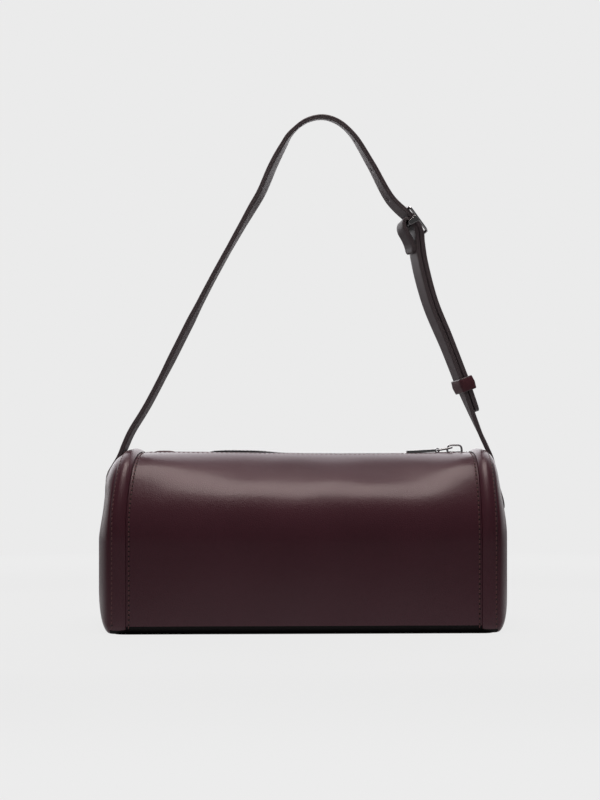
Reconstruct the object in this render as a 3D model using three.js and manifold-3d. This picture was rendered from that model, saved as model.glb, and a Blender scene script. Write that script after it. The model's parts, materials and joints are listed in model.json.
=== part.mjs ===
// A leather shoulder bag: a soft barrel body with a zipped top, two end bands and one buckled strap.
// Millimetres, +Z up, +X along the bag's length, -Y its front. The origin is the middle of the base,
// on the surface that the bag stands on.
import * as THREE from "three";
import { mergeVertices } from "three/addons/utils/BufferGeometryUtils.js";
import Module from "manifold-3d";

const wasm = await Module();
wasm.setup();

// Body
const BODY_LENGTH = 268.6; // between the seams of the two end panels
const BODY_DEPTH = 122.4; // over the front and back panels
const BODY_HEIGHT = 123.5; // to the top of the panels
const BASE_CORNER = 7; // radius where the panels turn under the base
const SHOULDER_ANGLE = 42; // degrees round the top curve at which the mouth bends
const LEATHER = 1.8;
const SEAM_GAP = 0.3; // between layers that are sewn together
const BASE_LAP = 12; // how far the panels run under the bag, on top of the base
const LEAN = 0.04; // share of its length that the bag loses towards its top
const LEAN_START = 90; // height at which the ends start to lean in
const TOP_SHIFT = 2.5; // how far the top leans towards the buckle's side
const SAG = 1.2; // how far the middle of the top sinks

// Ends
const BAND_WIDTH = 11.3;
const BAND_THICKNESS = 1.6;
const BAND_LAP = 9; // how far the panels run under a band
const END_BULGE = 8.8;
const END_PULL = 4.7; // how much of the bulge the strap draws in at the top
const END_PULL_START = 60; // height at which the strap starts to draw the end in
const END_PULL_FULL = 92; // height from which it is drawn in fully
const END_ROUNDNESS = 8; // power of the end panel's dome: higher is flatter with a rounder rim

// Inside
const LINING = 0.7;
const LINING_HEM = 1.5; // how far a flap's lining stays short of the flap's ends
const BOARD_MARGIN = 4; // between the base board and the bands

// Zip
const SLOT_WIDTH = 13; // between the leather edges
const TAPE_WIDTH = 12;
const TAPE_THICKNESS = 0.7;
const TOOTH_PITCH = 4;
const TOOTH_WIDTH = 1.5;
const TOOTH_REACH = 0.9; // past the middle of the zip
const CORD_WIDTH = 0.8; // the strip that the teeth stand on
const TEETH_HEIGHT = 3.2;
const STOP_LENGTH = 3.5;
const ZIP_GAP = 0.3; // running clearance of the slider
const ZIP_INSET_LEFT = 28.5; // from the left band to the zip's bottom stop
const ZIP_INSET_RIGHT = 4; // from the right band to the zip's open end
const MOUTH_INSET_LEFT = 25.5; // from the left band to the end of the part that opens
const MOUTH_INSET_RIGHT = 3;
const FLAP_GAP = 0.9; // at each end of the part that opens

// Slider and pull
const SLIDER_LENGTH = 12;
const SLIDER_WIDTH = 10;
const SLIDER_PLATE = 1.2;
const SLIDER_LIP = 0.85; // width of the lips that turn down over the tapes
const POST_LENGTH = 2;
const BAIL_HEIGHT = 5.2;
const BAIL_WIRE = 0.8; // radius
const BAIL_SLANT = 1; // how far each leg of the bail leans in
const LINK_LENGTH = 10.6;
const LINK_WIDTH = 5.4;
const LINK_WIRE = 0.7; // radius
const PULL_LENGTH = 22.5;
const PULL_WIDTH = 5.2;
const PULL_THICKNESS = 1.6;

// Strap
const STRAP_WIDTH = 18;
const STRAP_THICKNESS = 3.2;
const FOLD_THICKNESS = 2; // where the short strap is pared to fold round the buckle
const STRAP_GAP = 0.4; // between strap layers
const ANCHOR_FOOT = 83; // height of the lower end of a sewn strap end
const ANCHOR_DROP = 2.5; // below the top of the body, where a strap end leaves the end panel
const SWING_RISE = 12; // of the line that the strap swings about, above the bands
const LEFT_SLOPE = 0.55; // inward run for each millimetre of rise where the strap leaves the bag
const RIGHT_SLOPE = 0.445;
const LEFT_TWIST = 7; // degrees that the strap turns its inner face to the front
const RIGHT_TWIST = 12;
const TWIST_RISE = 22; // height above the swing line at which the twist is full
const TAIL_LENGTH = 140; // of the long strap past the buckle
const SHORT_LEAD = 5; // straight run of the short strap below the buckle
const FOLD_LENGTH = 21; // of the short strap's folded-back end
const FOLD_SLACK = 4; // how far the fold stands off below the bar
const HOLE_DIAMETER = 3.2;
const HOLE_PITCH = 24;
const HOLES_EACH_SIDE = 3;

// Buckle and keeper
const BUCKLE_LENGTH = 23;
const BUCKLE_PLAY = 1.5; // between the strap's edge and the frame
const RAIL_WIDTH = 2.4;
const RAIL_HEIGHT = 2;
const LUG_WIDTH = 5.2; // of the arm between a side rail and the bar, where it leaves the rail
const LUG_FOOT = 3; // its width at the bar
const BAR_RADIUS = 1.1;
const PRONG_WIRE = 0.95; // radius
const PRONG_PLAY = 0.25;
const PRONG_COLLAR = 3; // length of the prong's eye on the bar
const PRONG_EYE_WALL = 0.8;
const PRONG_HOLE = 2.4; // from the bar up to the hole that the prong goes through
const PRONG_KNEE = 4.6; // from the bar up to the place where the prong turns along the strap
const PRONG_OVERHANG = 0.4; // past the rail that it rests on
const PRONG_TIP_RISE = 0.3;
const KEEPER_LENGTH = 11;
const KEEPER_WALL = 1.2;
const KEEPER_PLAY = 0.7;
const KEEPER_PLACE = 121; // along the short strap, down from the buckle

// Strap centreline in the bag's lengthwise plane. Each point is [across, up], measured from the place
// where that leg crosses the line that the strap swings about.
const LEFT_LEG = [[12.4, 20.7], [58.7, 111.2], [85.2, 158.6], [101.7, 193], [113.9, 214.6]];
const APEX = [11.5, 226.8]; // across is measured from midway between the legs
const RIGHT_LEG = [[-92.3, 214.6], [-79.1, 193], [-64.7, 167.2]];
const BUCKLE_PLACE = [-48.9, 152];
const BUCKLE_TILT = 36; // degrees between the buckle and the vertical
const SHORT_LEG = [[-46.6, 128.4], [-38, 94], [-23.8, 59.5], [-10.4, 25], [0, 0]];

const { cos, sin, sqrt, abs, PI, sign } = Math;
const { smoothstep, degToRad, lerp } = THREE.MathUtils;

const halfLength = BODY_LENGTH / 2;
const halfDepth = BODY_DEPTH / 2;
const floorLayer = BAND_THICKNESS + SEAM_GAP; // the base leather under the panels
const halfBase = halfDepth - BASE_CORNER;
const arcCentre = BODY_HEIGHT - halfDepth;
const crestScale = 1 - LEAN;
const bandInner = halfLength - SEAM_GAP - BAND_WIDTH;
const bandTop = BODY_HEIGHT + SEAM_GAP + BAND_THICKNESS;
const shoulderHeight = arcCentre + halfDepth * sin(degToRad(SHOULDER_ANGLE));

// Lengths along the half section, from the middle of the base: flat, corner, wall, top curve.
const flatEnd = halfBase;
const cornerEnd = flatEnd + (BASE_CORNER * PI) / 2;
const wallEnd = cornerEnd + arcCentre - floorLayer - BASE_CORNER;
const crestEnd = wallEnd + (halfDepth * PI) / 2;
const shoulderAt = wallEnd + halfDepth * degToRad(SHOULDER_ANGLE);
const alongTop = (fromMiddle) => wallEnd + halfDepth * Math.acos(fromMiddle / halfDepth);

// The half section: distance from the bag's middle plane, height, and the outward direction.
function outline(s) {
  if (s < flatEnd) return { y: s, z: floorLayer, ny: 0, nz: -1 };
  if (s < cornerEnd) {
    const a = (s - flatEnd) / BASE_CORNER;
    const z = floorLayer + BASE_CORNER * (1 - cos(a));
    return { y: halfBase + BASE_CORNER * sin(a), z, ny: sin(a), nz: -cos(a) };
  }
  if (s < wallEnd) return { y: halfDepth, z: floorLayer + BASE_CORNER + s - cornerEnd, ny: 1, nz: 0 };
  const a = (s - wallEnd) / halfDepth;
  return { y: halfDepth * cos(a), z: arcCentre + halfDepth * sin(a), ny: cos(a), nz: sin(a) };
}

const sagAt = (x) => (abs(x) < bandInner ? SAG * cos((PI * x) / (2 * bandInner)) ** 2 : 0);

const leanAt = (z) => 1 - LEAN * smoothstep(z, LEAN_START, BODY_HEIGHT);
const shiftAt = (z) => TOP_SHIFT * smoothstep(z, LEAN_START, BODY_HEIGHT);

// The bag's soft set: its ends lean in towards the top, which leans to one side and sinks in the middle.
function settle(x, y, z) {
  const across = x * leanAt(z) + shiftAt(z);
  return new THREE.Vector3(across, y, z - sagAt(across) * smoothstep(z, shoulderHeight, BODY_HEIGHT));
}

// A point of the bag's skin: side is -1 for the front and 1 for the back, depth goes inwards.
function skin(side, s, x, depth) {
  const o = outline(s);
  return settle(x, side * (o.y - o.ny * depth), o.z - o.nz * depth);
}

function steps(from, to, count) {
  return Array.from({ length: count + 1 }, (_, i) => lerp(from, to, i / count));
}

// A closed surface from points and triangles: doubled points are merged and it is turned to face out.
function closedSurface(points, triangles) {
  const raw = new THREE.BufferGeometry();
  raw.setAttribute("position", new THREE.Float32BufferAttribute(points.flatMap((p) => p.toArray()), 3));
  raw.setIndex(triangles.flat());
  const merged = mergeVertices(raw, 1e-4);
  const at = (i) => new THREE.Vector3().fromBufferAttribute(merged.attributes.position, i);
  const kept = [];
  let volume = 0;
  for (let i = 0; i < merged.index.count; i += 3) {
    const [a, b, c] = [0, 1, 2].map((k) => merged.index.getX(i + k));
    if (a === b || b === c || a === c) continue;
    kept.push([a, b, c]);
    volume += at(a).dot(at(b).cross(at(c)));
  }
  merged.setIndex(kept.flatMap(([a, b, c]) => (volume < 0 ? [a, c, b] : [a, b, c])));
  return merged;
}

// A curved slab: point(u, v, face) gives its outer (0) and inner (1) face. A ring closes on itself in u.
function slab(point, us, vs, ring = false) {
  const points = [0, 1].flatMap((face) => us.flatMap((u) => vs.map((v) => point(u, v, face))));
  const at = (face, i, j) => (face * us.length + (i % us.length)) * vs.length + j;
  const triangles = [];
  const quad = (a, b, c, d) => triangles.push([a, b, c], [a, c, d]);
  const lastU = ring ? us.length : us.length - 1;
  const lastV = vs.length - 1;
  for (let i = 0; i < lastU; i++) {
    for (let j = 0; j < lastV; j++) {
      quad(at(0, i, j), at(0, i + 1, j), at(0, i + 1, j + 1), at(0, i, j + 1));
      quad(at(1, i, j), at(1, i, j + 1), at(1, i + 1, j + 1), at(1, i + 1, j));
    }
    quad(at(0, i, 0), at(1, i, 0), at(1, i + 1, 0), at(0, i + 1, 0));
    quad(at(0, i, lastV), at(0, i + 1, lastV), at(1, i + 1, lastV), at(1, i, lastV));
  }
  if (!ring) {
    for (let j = 0; j < lastV; j++) {
      quad(at(0, 0, j), at(0, 0, j + 1), at(1, 0, j + 1), at(1, 0, j));
      quad(at(0, lastU, j), at(1, lastU, j), at(1, lastU, j + 1), at(0, lastU, j + 1));
    }
  }
  return closedSurface(points, triangles);
}

function solidOf(geometry) {
  const bare = new THREE.BufferGeometry();
  bare.setAttribute("position", geometry.attributes.position);
  bare.setIndex(geometry.index);
  const merged = mergeVertices(bare, 1e-4);
  const vertProperties = merged.attributes.position.array;
  return new wasm.Manifold(new wasm.Mesh({ numProp: 3, vertProperties, triVerts: merged.index.array }));
}

function geometryOf(solid) {
  const mesh = solid.getMesh();
  const made = new THREE.BufferGeometry();
  made.setAttribute("position", new THREE.BufferAttribute(mesh.vertProperties, 3));
  made.setIndex(new THREE.BufferAttribute(mesh.triVerts, 1));
  made.computeVertexNormals();
  return made;
}

const joined = (geometries) => geometryOf(geometries.map(solidOf).reduce((a, b) => a.add(b)));
const cut = (geometry, ...tools) =>
  geometryOf(tools.map(solidOf).reduce((left, tool) => left.subtract(tool), solidOf(geometry)));

const box = (from, to) => {
  const size = to.map((v, i) => v - from[i]);
  return new THREE.BoxGeometry(...size).translate(...to.map((v, i) => (v + from[i]) / 2));
};

// Round wire along straight runs, mitred where it turns.
function wire(points, radius, closed = false) {
  const sides = 8;
  const places = points.map((p) => new THREE.Vector3(...p));
  const count = places.length;
  const runs = places.map((p, i) => places[(i + 1) % count].clone().sub(p).normalize());
  const start = new THREE.Vector3(0, 0, 1);
  if (abs(runs[0].z) > 0.9) start.set(1, 0, 0);
  let arm = start.cross(runs[0]).normalize();
  const rings = places.map((p, i) => {
    const into = i > 0 || closed ? runs[(i + count - 1) % count] : runs[0];
    const outOf = i < count - 1 || closed ? runs[i] : into;
    if (i > 0) arm = arm.clone().applyQuaternion(new THREE.Quaternion().setFromUnitVectors(into, outOf));
    const mitre = into.clone().add(outOf).normalize();
    return Array.from({ length: sides }, (_, k) => {
      const spoke = arm.clone().applyAxisAngle(outOf, (2 * PI * k) / sides).multiplyScalar(radius);
      return spoke.addScaledVector(outOf, -spoke.dot(mitre) / outOf.dot(mitre)).add(p);
    });
  });
  const triangles = [];
  const bridge = (i, j, shift) => {
    for (let k = 0; k < sides; k++) {
      const [a, b] = [i * sides + k, i * sides + ((k + 1) % sides)];
      const [c, d] = [j * sides + ((k + shift) % sides), j * sides + ((k + shift + 1) % sides)];
      triangles.push([a, b, d], [a, d, c]);
    }
  };
  for (let i = 0; i < count - 1; i++) bridge(i, i + 1, 0);
  if (closed) {
    const across = new THREE.Quaternion().setFromUnitVectors(runs[count - 1], runs[0]);
    const carried = arm.clone().applyQuaternion(across);
    const first = rings[0].map((p) => p.clone().sub(places[0]).normalize().dot(carried));
    bridge(count - 1, 0, first.indexOf(Math.max(...first)));
  } else {
    const last = (count - 1) * sides;
    for (let k = 1; k < sides - 1; k++) triangles.push([0, k + 1, k], [last, last + k, last + k + 1]);
  }
  return closedSurface(rings.flat(), triangles);
}

// A ribbon of leather: each station has its centre, its outward direction, its crosswise half-width
// vector and its thickness. The edges are eased.
function ribbon(stations) {
  const ease = 0.25; // share of the thickness taken off each edge
  const corners = [[-1, -1], [1, -1], [1, 1], [-1, 1]];
  const ringAt = ({ centre, out, half, thickness }) => {
    const shrink = 1 - (ease * thickness) / half.length();
    const at = (w, h) => centre.clone().addScaledVector(half, w).addScaledVector(out, (h * thickness) / 2);
    return corners.flatMap(([w, h]) => {
      const long = at(w * shrink, h);
      const short = at(w, h * (1 - 2 * ease));
      return w * h > 0 ? [short, long] : [long, short];
    });
  };
  const size = corners.length * 2;
  const points = stations.flatMap(ringAt);
  const triangles = [];
  stations.slice(1).forEach((_, i) => {
    for (let k = 0; k < size; k++) {
      const [a, b] = [i * size + k, i * size + ((k + 1) % size)];
      triangles.push([a, b, b + size], [a, b + size, a + size]);
    }
  });
  const last = (stations.length - 1) * size;
  for (let k = 1; k < size - 1; k++) triangles.push([0, k + 1, k], [last, last + k, last + k + 1]);
  return closedSurface(points, triangles);
}

// Materials
const finish = (color, roughness, metalness = 0) =>
  new THREE.MeshStandardMaterial({ color, roughness, metalness });
const bodyLeather = () => finish(0x3d2329, 0.38);
const strapLeather = () => finish(0x2e2226, 0.4);
const keeperLeather = () => finish(0x4a1f2b, 0.38);
const liningCloth = () => finish(0x4b3a38, 0.85);
const board = () => finish(0x6d5a45, 0.9);
const tapeCloth = () => finish(0x32171d, 0.9);
const silver = () => finish(0xc9c9cc, 0.18, 1);

const bag = new THREE.Group();
function place(name, geometry, material, parent = bag) {
  const mesh = new THREE.Mesh(geometry, material);
  mesh.name = name;
  parent.add(mesh);
  return mesh;
}

// Where the parts of the top lie along the bag, at the height of the crest.
const bandAtCrest = bandInner * crestScale;
const bandLeft = TOP_SHIFT - bandAtCrest;
const bandRight = TOP_SHIFT + bandAtCrest;
const mouthLeft = bandLeft + MOUTH_INSET_LEFT;
const mouthRight = bandRight - MOUTH_INSET_RIGHT;
const chainLeft = bandLeft + ZIP_INSET_LEFT + STOP_LENGTH + ZIP_GAP;
const sliderX = bandRight - ZIP_INSET_RIGHT - SLIDER_LENGTH / 2;
const chainRight = sliderX + SLIDER_LENGTH / 2 - POST_LENGTH - ZIP_GAP;
const slotEdge = alongTop(SLOT_WIDTH / 2);

// Front and back: a panel from the base to the top, and the part of it beside the zip that opens.
const lapStart = flatEnd - BASE_LAP;
const panelSteps = [
  ...steps(lapStart, flatEnd, 1),
  ...steps(flatEnd, cornerEnd, 4).slice(1),
  ...steps(cornerEnd, wallEnd, 3).slice(1),
  ...steps(wallEnd, shoulderAt, 4).slice(1),
];
const flapSteps = steps(shoulderAt + SEAM_GAP / 2, slotEdge, 5);
const panelEnd = bandInner + BAND_LAP;
const fromCrest = (x) => (x - TOP_SHIFT) / crestScale;
const mouthSpan = [fromCrest(mouthLeft), fromCrest(mouthRight)];
for (const [name, side] of [["front", -1], ["back", 1]]) {
  const thick = (s, x, face) => skin(side, s, x, face * LEATHER);
  const whole = slab(thick, [...panelSteps, ...steps(shoulderAt, slotEdge, 5).slice(1)], [
    -panelEnd,
    ...steps(...mouthSpan, 8),
    panelEnd,
  ]);
  const window = slab(
    (s, x, face) => skin(side, s, x, lerp(-LEATHER, 2 * LEATHER, face)),
    steps(shoulderAt - SEAM_GAP / 2, crestEnd, 6),
    steps(...mouthSpan, 8),
  );
  place(`${name}_panel`, cut(whole, window), bodyLeather());
  const flapSpan = steps(mouthSpan[0] + FLAP_GAP, mouthSpan[1] - FLAP_GAP, 8);
  place(`${name}_top_flap`, slab(thick, flapSteps, flapSpan), bodyLeather());

  // The zip tape hangs under the flap's edge, and the flap's lining covers the tape's outer edge.
  const tapeDepth = LEATHER + SEAM_GAP;
  const tapeInner = CORD_WIDTH + TOOTH_REACH + 2 * ZIP_GAP;
  place(
    `${name}_zip_tape`,
    slab(
      (s, x, face) => skin(side, s, x, tapeDepth + face * TAPE_THICKNESS),
      steps(alongTop(tapeInner + TAPE_WIDTH), alongTop(tapeInner), 3),
      steps(fromCrest(chainLeft), mouthSpan[1] - SEAM_GAP, 8),
    ),
    tapeCloth(),
  );
  const liningDepth = tapeDepth + TAPE_THICKNESS + SEAM_GAP;
  place(
    `${name}_flap_lining`,
    slab(
      (s, x, face) => skin(side, s, x, liningDepth + face * LINING),
      steps(shoulderAt + SEAM_GAP, slotEdge, 5),
      steps(mouthSpan[0] + LINING_HEM, mouthSpan[1] - LINING_HEM, 8),
    ),
    liningCloth(),
  );

  // One row of teeth on its cord. The other side's teeth stand half a pitch along.
  const row = new THREE.Shape();
  const root = TOOTH_REACH + ZIP_GAP;
  const first = chainLeft + (side > 0 ? TOOTH_PITCH / 2 : 0);
  row.moveTo(chainLeft, root + CORD_WIDTH);
  row.lineTo(chainLeft, root);
  for (let x = first; x + TOOTH_WIDTH < chainRight; x += TOOTH_PITCH) {
    if (x > chainLeft) row.lineTo(x, root);
    row.lineTo(x, -TOOTH_REACH);
    row.lineTo(x + TOOTH_WIDTH, -TOOTH_REACH);
    row.lineTo(x + TOOTH_WIDTH, root);
  }
  row.lineTo(chainRight, root);
  row.lineTo(chainRight, root + CORD_WIDTH);
  const teeth = new THREE.ExtrudeGeometry(row, { depth: TEETH_HEIGHT, bevelEnabled: false });
  const teethBase = BODY_HEIGHT - tapeDepth - TAPE_THICKNESS / 2 - TEETH_HEIGHT / 2;
  const spots = teeth.attributes.position;
  const placed = Array.from({ length: spots.count }, (_, i) => {
    const x = spots.getX(i);
    return new THREE.Vector3(x, side * spots.getY(i), teethBase + spots.getZ(i) - sagAt(x));
  });
  const triangles = placed.map((_, i) => i);
  place(`${name}_zip_teeth`, closedSurface(placed, triangles), silver());
}

// The zip's bottom stop and the leather tab that covers its left end.
const teethMiddle = BODY_HEIGHT - LEATHER - SEAM_GAP - TAPE_THICKNESS / 2;
const stopHalf = CORD_WIDTH + TOOTH_REACH + ZIP_GAP;
const stopRight = chainLeft - ZIP_GAP;
const stopLeft = stopRight - STOP_LENGTH;
const stopTall = TEETH_HEIGHT / 2 - sagAt(stopLeft);
place(
  "zip_bottom_stop",
  box([stopLeft, -stopHalf, teethMiddle - stopTall], [stopRight, stopHalf, teethMiddle + stopTall]),
  silver(),
);
const endTabHalf = SLOT_WIDTH / 2 - 2 * SEAM_GAP;
const endTabLeft = TOP_SHIFT - panelEnd * crestScale;
place(
  "zip_end_tab",
  box(
    [endTabLeft, -endTabHalf, teethMiddle - LEATHER],
    [stopLeft - ZIP_GAP, endTabHalf, teethMiddle + LEATHER / 2],
  ),
  bodyLeather(),
);

// Slider: two plates joined by a post in front of the teeth, with side lips and an arched bail.
const teethTop = teethMiddle + TEETH_HEIGHT / 2;
const teethFoot = teethMiddle - TEETH_HEIGHT / 2;
const plateFoot = teethTop + ZIP_GAP;
const plateTop = plateFoot + SLIDER_PLATE;
const sliderFront = sliderX + SLIDER_LENGTH / 2;
const sliderBack = sliderX - SLIDER_LENGTH / 2;
const sliderHalf = SLIDER_WIDTH / 2;
const lowerTop = teethFoot - ZIP_GAP;
const lowerFoot = lowerTop - SLIDER_PLATE;
const lipFoot = teethMiddle + TAPE_THICKNESS / 2 + ZIP_GAP;
const postHalf = CORD_WIDTH + TOOTH_REACH - ZIP_GAP;
const bailEnd = SLIDER_LENGTH / 2 - BAIL_WIRE;
const bailTop = plateTop + BAIL_HEIGHT - BAIL_WIRE;
const bailKnee = bailEnd - BAIL_SLANT;
place(
  "zip_slider",
  joined([
    box([sliderBack, -sliderHalf, plateFoot], [sliderFront, sliderHalf, plateTop]),
    box([sliderBack, -sliderHalf, lowerFoot], [sliderFront, sliderHalf, lowerTop]),
    box(
      [sliderFront - POST_LENGTH, -postHalf, lowerTop - SLIDER_PLATE / 2],
      [sliderFront, postHalf, plateFoot + SLIDER_PLATE / 2],
    ),
    ...[-sliderHalf, sliderHalf - SLIDER_LIP].map((y) =>
      box([sliderBack, y, lipFoot], [sliderFront, y + SLIDER_LIP, plateFoot + SLIDER_PLATE / 2]),
    ),
    wire(
      [
        [sliderX - bailEnd, 0, plateTop - BAIL_WIRE / 2],
        [sliderX - bailKnee, 0, bailTop],
        [sliderX + bailKnee, 0, bailTop],
        [sliderX + bailEnd, 0, plateTop - BAIL_WIRE / 2],
      ],
      BAIL_WIRE,
    ),
  ]),
  silver(),
);

// Pull: a wire link through the bail, and a round-ended bar rolled round the link's far end.
const pinX = sliderX - bailKnee + BAIL_WIRE + LINK_WIRE + 2 * ZIP_GAP;
const pinZ = bailTop - BAIL_WIRE - LINK_WIRE - ZIP_GAP;
const eyeBore = LINK_WIRE + ZIP_GAP;
const eyeOuter = eyeBore + PULL_THICKNESS / 2;
const farZ = teethTop + eyeOuter + ZIP_GAP; // the bar's eye lies on the teeth
const farX = pinX - sqrt(LINK_LENGTH ** 2 - (pinZ - farZ) ** 2);
const linkHalf = LINK_WIDTH / 2;
place(
  "pull_link",
  wire(
    [[pinX, -linkHalf, pinZ], [pinX, linkHalf, pinZ], [farX, linkHalf, farZ], [farX, -linkHalf, farZ]],
    LINK_WIRE,
    true,
  ),
  silver(),
);
const eyeLength = LINK_WIDTH - 2 * LINK_WIRE - 2 * ZIP_GAP;
const barOutline = new THREE.Shape();
const barHalf = PULL_WIDTH / 2;
barOutline.moveTo(-eyeBore - PULL_THICKNESS / 4, -eyeLength / 2);
barOutline.lineTo(-eyeBore - PULL_THICKNESS / 4, eyeLength / 2);
barOutline.lineTo(-eyeOuter - barHalf, barHalf);
barOutline.lineTo(barHalf - PULL_LENGTH, barHalf);
barOutline.absarc(barHalf - PULL_LENGTH, 0, barHalf, PI / 2, (3 * PI) / 2, false);
barOutline.lineTo(-eyeOuter - barHalf, -barHalf);
const bar = new THREE.ExtrudeGeometry(barOutline, {
  depth: PULL_THICKNESS,
  bevelEnabled: false,
  curveSegments: 10,
}).translate(farX, 0, farZ - PULL_THICKNESS / 2);
const eye = new THREE.CylinderGeometry(eyeOuter, eyeOuter, eyeLength, 14).translate(farX, 0, farZ);
const bore = new THREE.CylinderGeometry(eyeBore, eyeBore, 2 * eyeLength, 14).translate(farX, 0, farZ);
place("pull_bar", cut(joined([bar, eye]), bore), silver());

// Base: the outer leather between the bands, and the stiff board on it between the panels' edges.
const baseHalf = bandInner - SEAM_GAP;
place("base_panel", box([-baseHalf, -halfBase, 0], [baseHalf, halfBase, BAND_THICKNESS]), bodyLeather());
const boardX = bandInner - BOARD_MARGIN;
const boardY = halfBase - BASE_LAP - SEAM_GAP;
place(
  "base_board",
  box([-boardX, -boardY, floorLayer], [boardX, boardY, floorLayer + LEATHER]),
  board(),
);

// Lining: a cloth tub up to the shoulders, inside the panels.
const liningOuter = LEATHER + SEAM_GAP;
function liningPrism(depth, half, above) {
  const right = panelSteps.filter((s) => s >= flatEnd).map(outline);
  const side = right.map((o) => new THREE.Vector2(o.y - o.ny * depth, o.z - o.nz * depth));
  const top = side[side.length - 1];
  if (above) side.push(new THREE.Vector2(top.x, top.y + above));
  const loop = [...side, ...side.map((p) => new THREE.Vector2(-p.x, p.y)).reverse()];
  const prism = new THREE.ExtrudeGeometry(new THREE.Shape(loop), { depth: 2 * half, bevelEnabled: false });
  const spots = prism.attributes.position;
  const placed = Array.from({ length: spots.count }, (_, i) =>
    settle(spots.getZ(i) - half, spots.getX(i), spots.getY(i)),
  );
  return closedSurface(placed, placed.map((_, i) => i));
}
const liningHalf = panelEnd - SEAM_GAP;
const liningSpace = liningPrism(liningOuter + LINING, liningHalf - LINING, 2 * LINING);
place("main_lining", cut(liningPrism(liningOuter, liningHalf, 0), liningSpace), liningCloth());

// Ends: a sewn band round each end of the body, and a domed panel that closes it.
const roundSteps = [
  ...steps(0, flatEnd, 1),
  ...steps(flatEnd, cornerEnd, 4).slice(1),
  ...steps(cornerEnd, wallEnd, 3).slice(1),
  ...steps(wallEnd, crestEnd, 9).slice(1),
];
const ringSteps = [...roundSteps, ...roundSteps.slice(1, -1).map((s) => 2 * crestEnd - s).reverse()]
  .sort((a, b) => a - b);
const around = (u, x, depth) =>
  u <= crestEnd ? skin(-1, u, x, depth) : skin(1, 2 * crestEnd - u, x, depth);
const bandEnd = halfLength - SEAM_GAP;
const endRim = -floorLayer + BAND_THICKNESS / 2;
const bulgeAt = (z) => END_BULGE - END_PULL * smoothstep(z, END_PULL_START, END_PULL_FULL);

// A point of an end panel's dome: reach goes from 0 in its middle to 1 at its rim.
function dome(hand, u, reach, face) {
  const o = u <= crestEnd ? outline(u) : outline(2 * crestEnd - u);
  const inset = endRim + face * LEATHER;
  const y = (u <= crestEnd ? -1 : 1) * (o.y - o.ny * inset) * reach;
  const z = lerp(arcCentre, o.z - o.nz * inset, reach);
  const swell = (bulgeAt(z) - face * LEATHER) * sqrt(1 - reach ** END_ROUNDNESS);
  return new THREE.Vector3(hand * (halfLength * leanAt(z) + swell) + shiftAt(z), y, z);
}

// Where a dome stands on the bag's middle plane, at a height above the dome's centre, and further out by off.
function domeAt(hand, z, off) {
  const reach = Math.min(1, (z - arcCentre) / (halfDepth - endRim));
  const swell = bulgeAt(z) * sqrt(1 - reach ** END_ROUNDNESS);
  return hand * (halfLength * leanAt(z) + swell + off) + shiftAt(z);
}

for (const [name, hand] of [["left", -1], ["right", 1]]) {
  const bandPoint = (u, x, face) => around(u, hand * x, (face - 1) * BAND_THICKNESS - SEAM_GAP);
  place(`${name}_end_band`, slab(bandPoint, ringSteps, [bandInner, bandEnd], true), bodyLeather());
  const reaches = [0, 0.4, 0.65, 0.8, 0.9, 0.965, 1];
  place(
    `${name}_end_panel`,
    slab((u, reach, face) => dome(hand, u, reach, face), ringSteps, reaches, true),
    bodyLeather(),
  );
}

// Strap lines in the bag's lengthwise plane, and the line that the strap swings about.
const swingZ = bandTop + SWING_RISE;
const layOn = STRAP_THICKNESS / 2 + STRAP_GAP; // centre of a strap that lies on a surface
const leaveZ = BODY_HEIGHT - ANCHOR_DROP;
const legStart = (hand, slope) => domeAt(hand, leaveZ, layOn) - hand * slope * (swingZ - leaveZ);
const leftStart = legStart(-1, LEFT_SLOPE);
const rightStart = legStart(1, RIGHT_SLOPE);
const spot = (x, z) => new THREE.Vector3(x, 0, z);
const fromLeft = ([across, up]) => spot(leftStart + across, swingZ + up);
const fromRight = ([across, up]) => spot(rightStart + across, swingZ + up);
const apex = spot((leftStart + rightStart) / 2 + APEX[0], swingZ + APEX[1]);

// The buckle's own directions: along the strap, out of it, and across it.
const tilt = degToRad(BUCKLE_TILT);
const buckleAlong = spot(sin(tilt), -cos(tilt));
const buckleOut = spot(cos(tilt), sin(tilt));
const buckleAt = fromRight(BUCKLE_PLACE);
const barBore = BAR_RADIUS + SEAM_GAP;
const foldRadius = barBore + FOLD_THICKNESS / 2;
const shortDrop = STRAP_THICKNESS / 2 + STRAP_GAP + FOLD_THICKNESS / 2;
const barDrop = shortDrop + foldRadius;
const barAt = buckleAt.clone().addScaledVector(buckleOut, -barDrop);

const shortTop = buckleAt.clone().addScaledVector(buckleOut, -shortDrop);
const shortLead = shortTop.clone().addScaledVector(buckleAlong, SHORT_LEAD);
const legFoot = (start, slope, drop) => spot(start + sign(start) * slope * drop, swingZ - drop);
const endRun = STRAP_WIDTH / 2 + STRAP_GAP; // past the swing line, for the rounded end
const shortLine = new THREE.CatmullRomCurve3([
  shortTop,
  shortLead,
  ...SHORT_LEG.map(fromRight),
  legFoot(rightStart, RIGHT_SLOPE, endRun),
]);
shortLine.arcLengthDivisions = 800;
const shortLength = shortLine.getLength();

// Distances along a line, closer together where it bends.
function runsAlong(line, from) {
  const [longest, turn] = [14, degToRad(5)];
  const length = line.getLength();
  const runs = [from];
  let facing = line.getTangentAt(from / length);
  for (const run of steps(from, length, Math.ceil(length - from)).slice(1, -1)) {
    const ahead = line.getTangentAt(run / length);
    if (ahead.angleTo(facing) < turn && run - runs.at(-1) < longest) continue;
    runs.push(run);
    facing = ahead;
  }
  return [...runs, length];
}

// The outward direction beside a line's direction.
const outwards = (along) => spot(-along.z, along.x).normalize();
const shortAt = (s) => {
  const u = Math.min(1, s / shortLength);
  return { centre: shortLine.getPointAt(u), out: outwards(shortLine.getTangentAt(u)) };
};
const thicknessAt = (s) => lerp(FOLD_THICKNESS, STRAP_THICKNESS, smoothstep(s, 0, FOLD_LENGTH));

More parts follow.
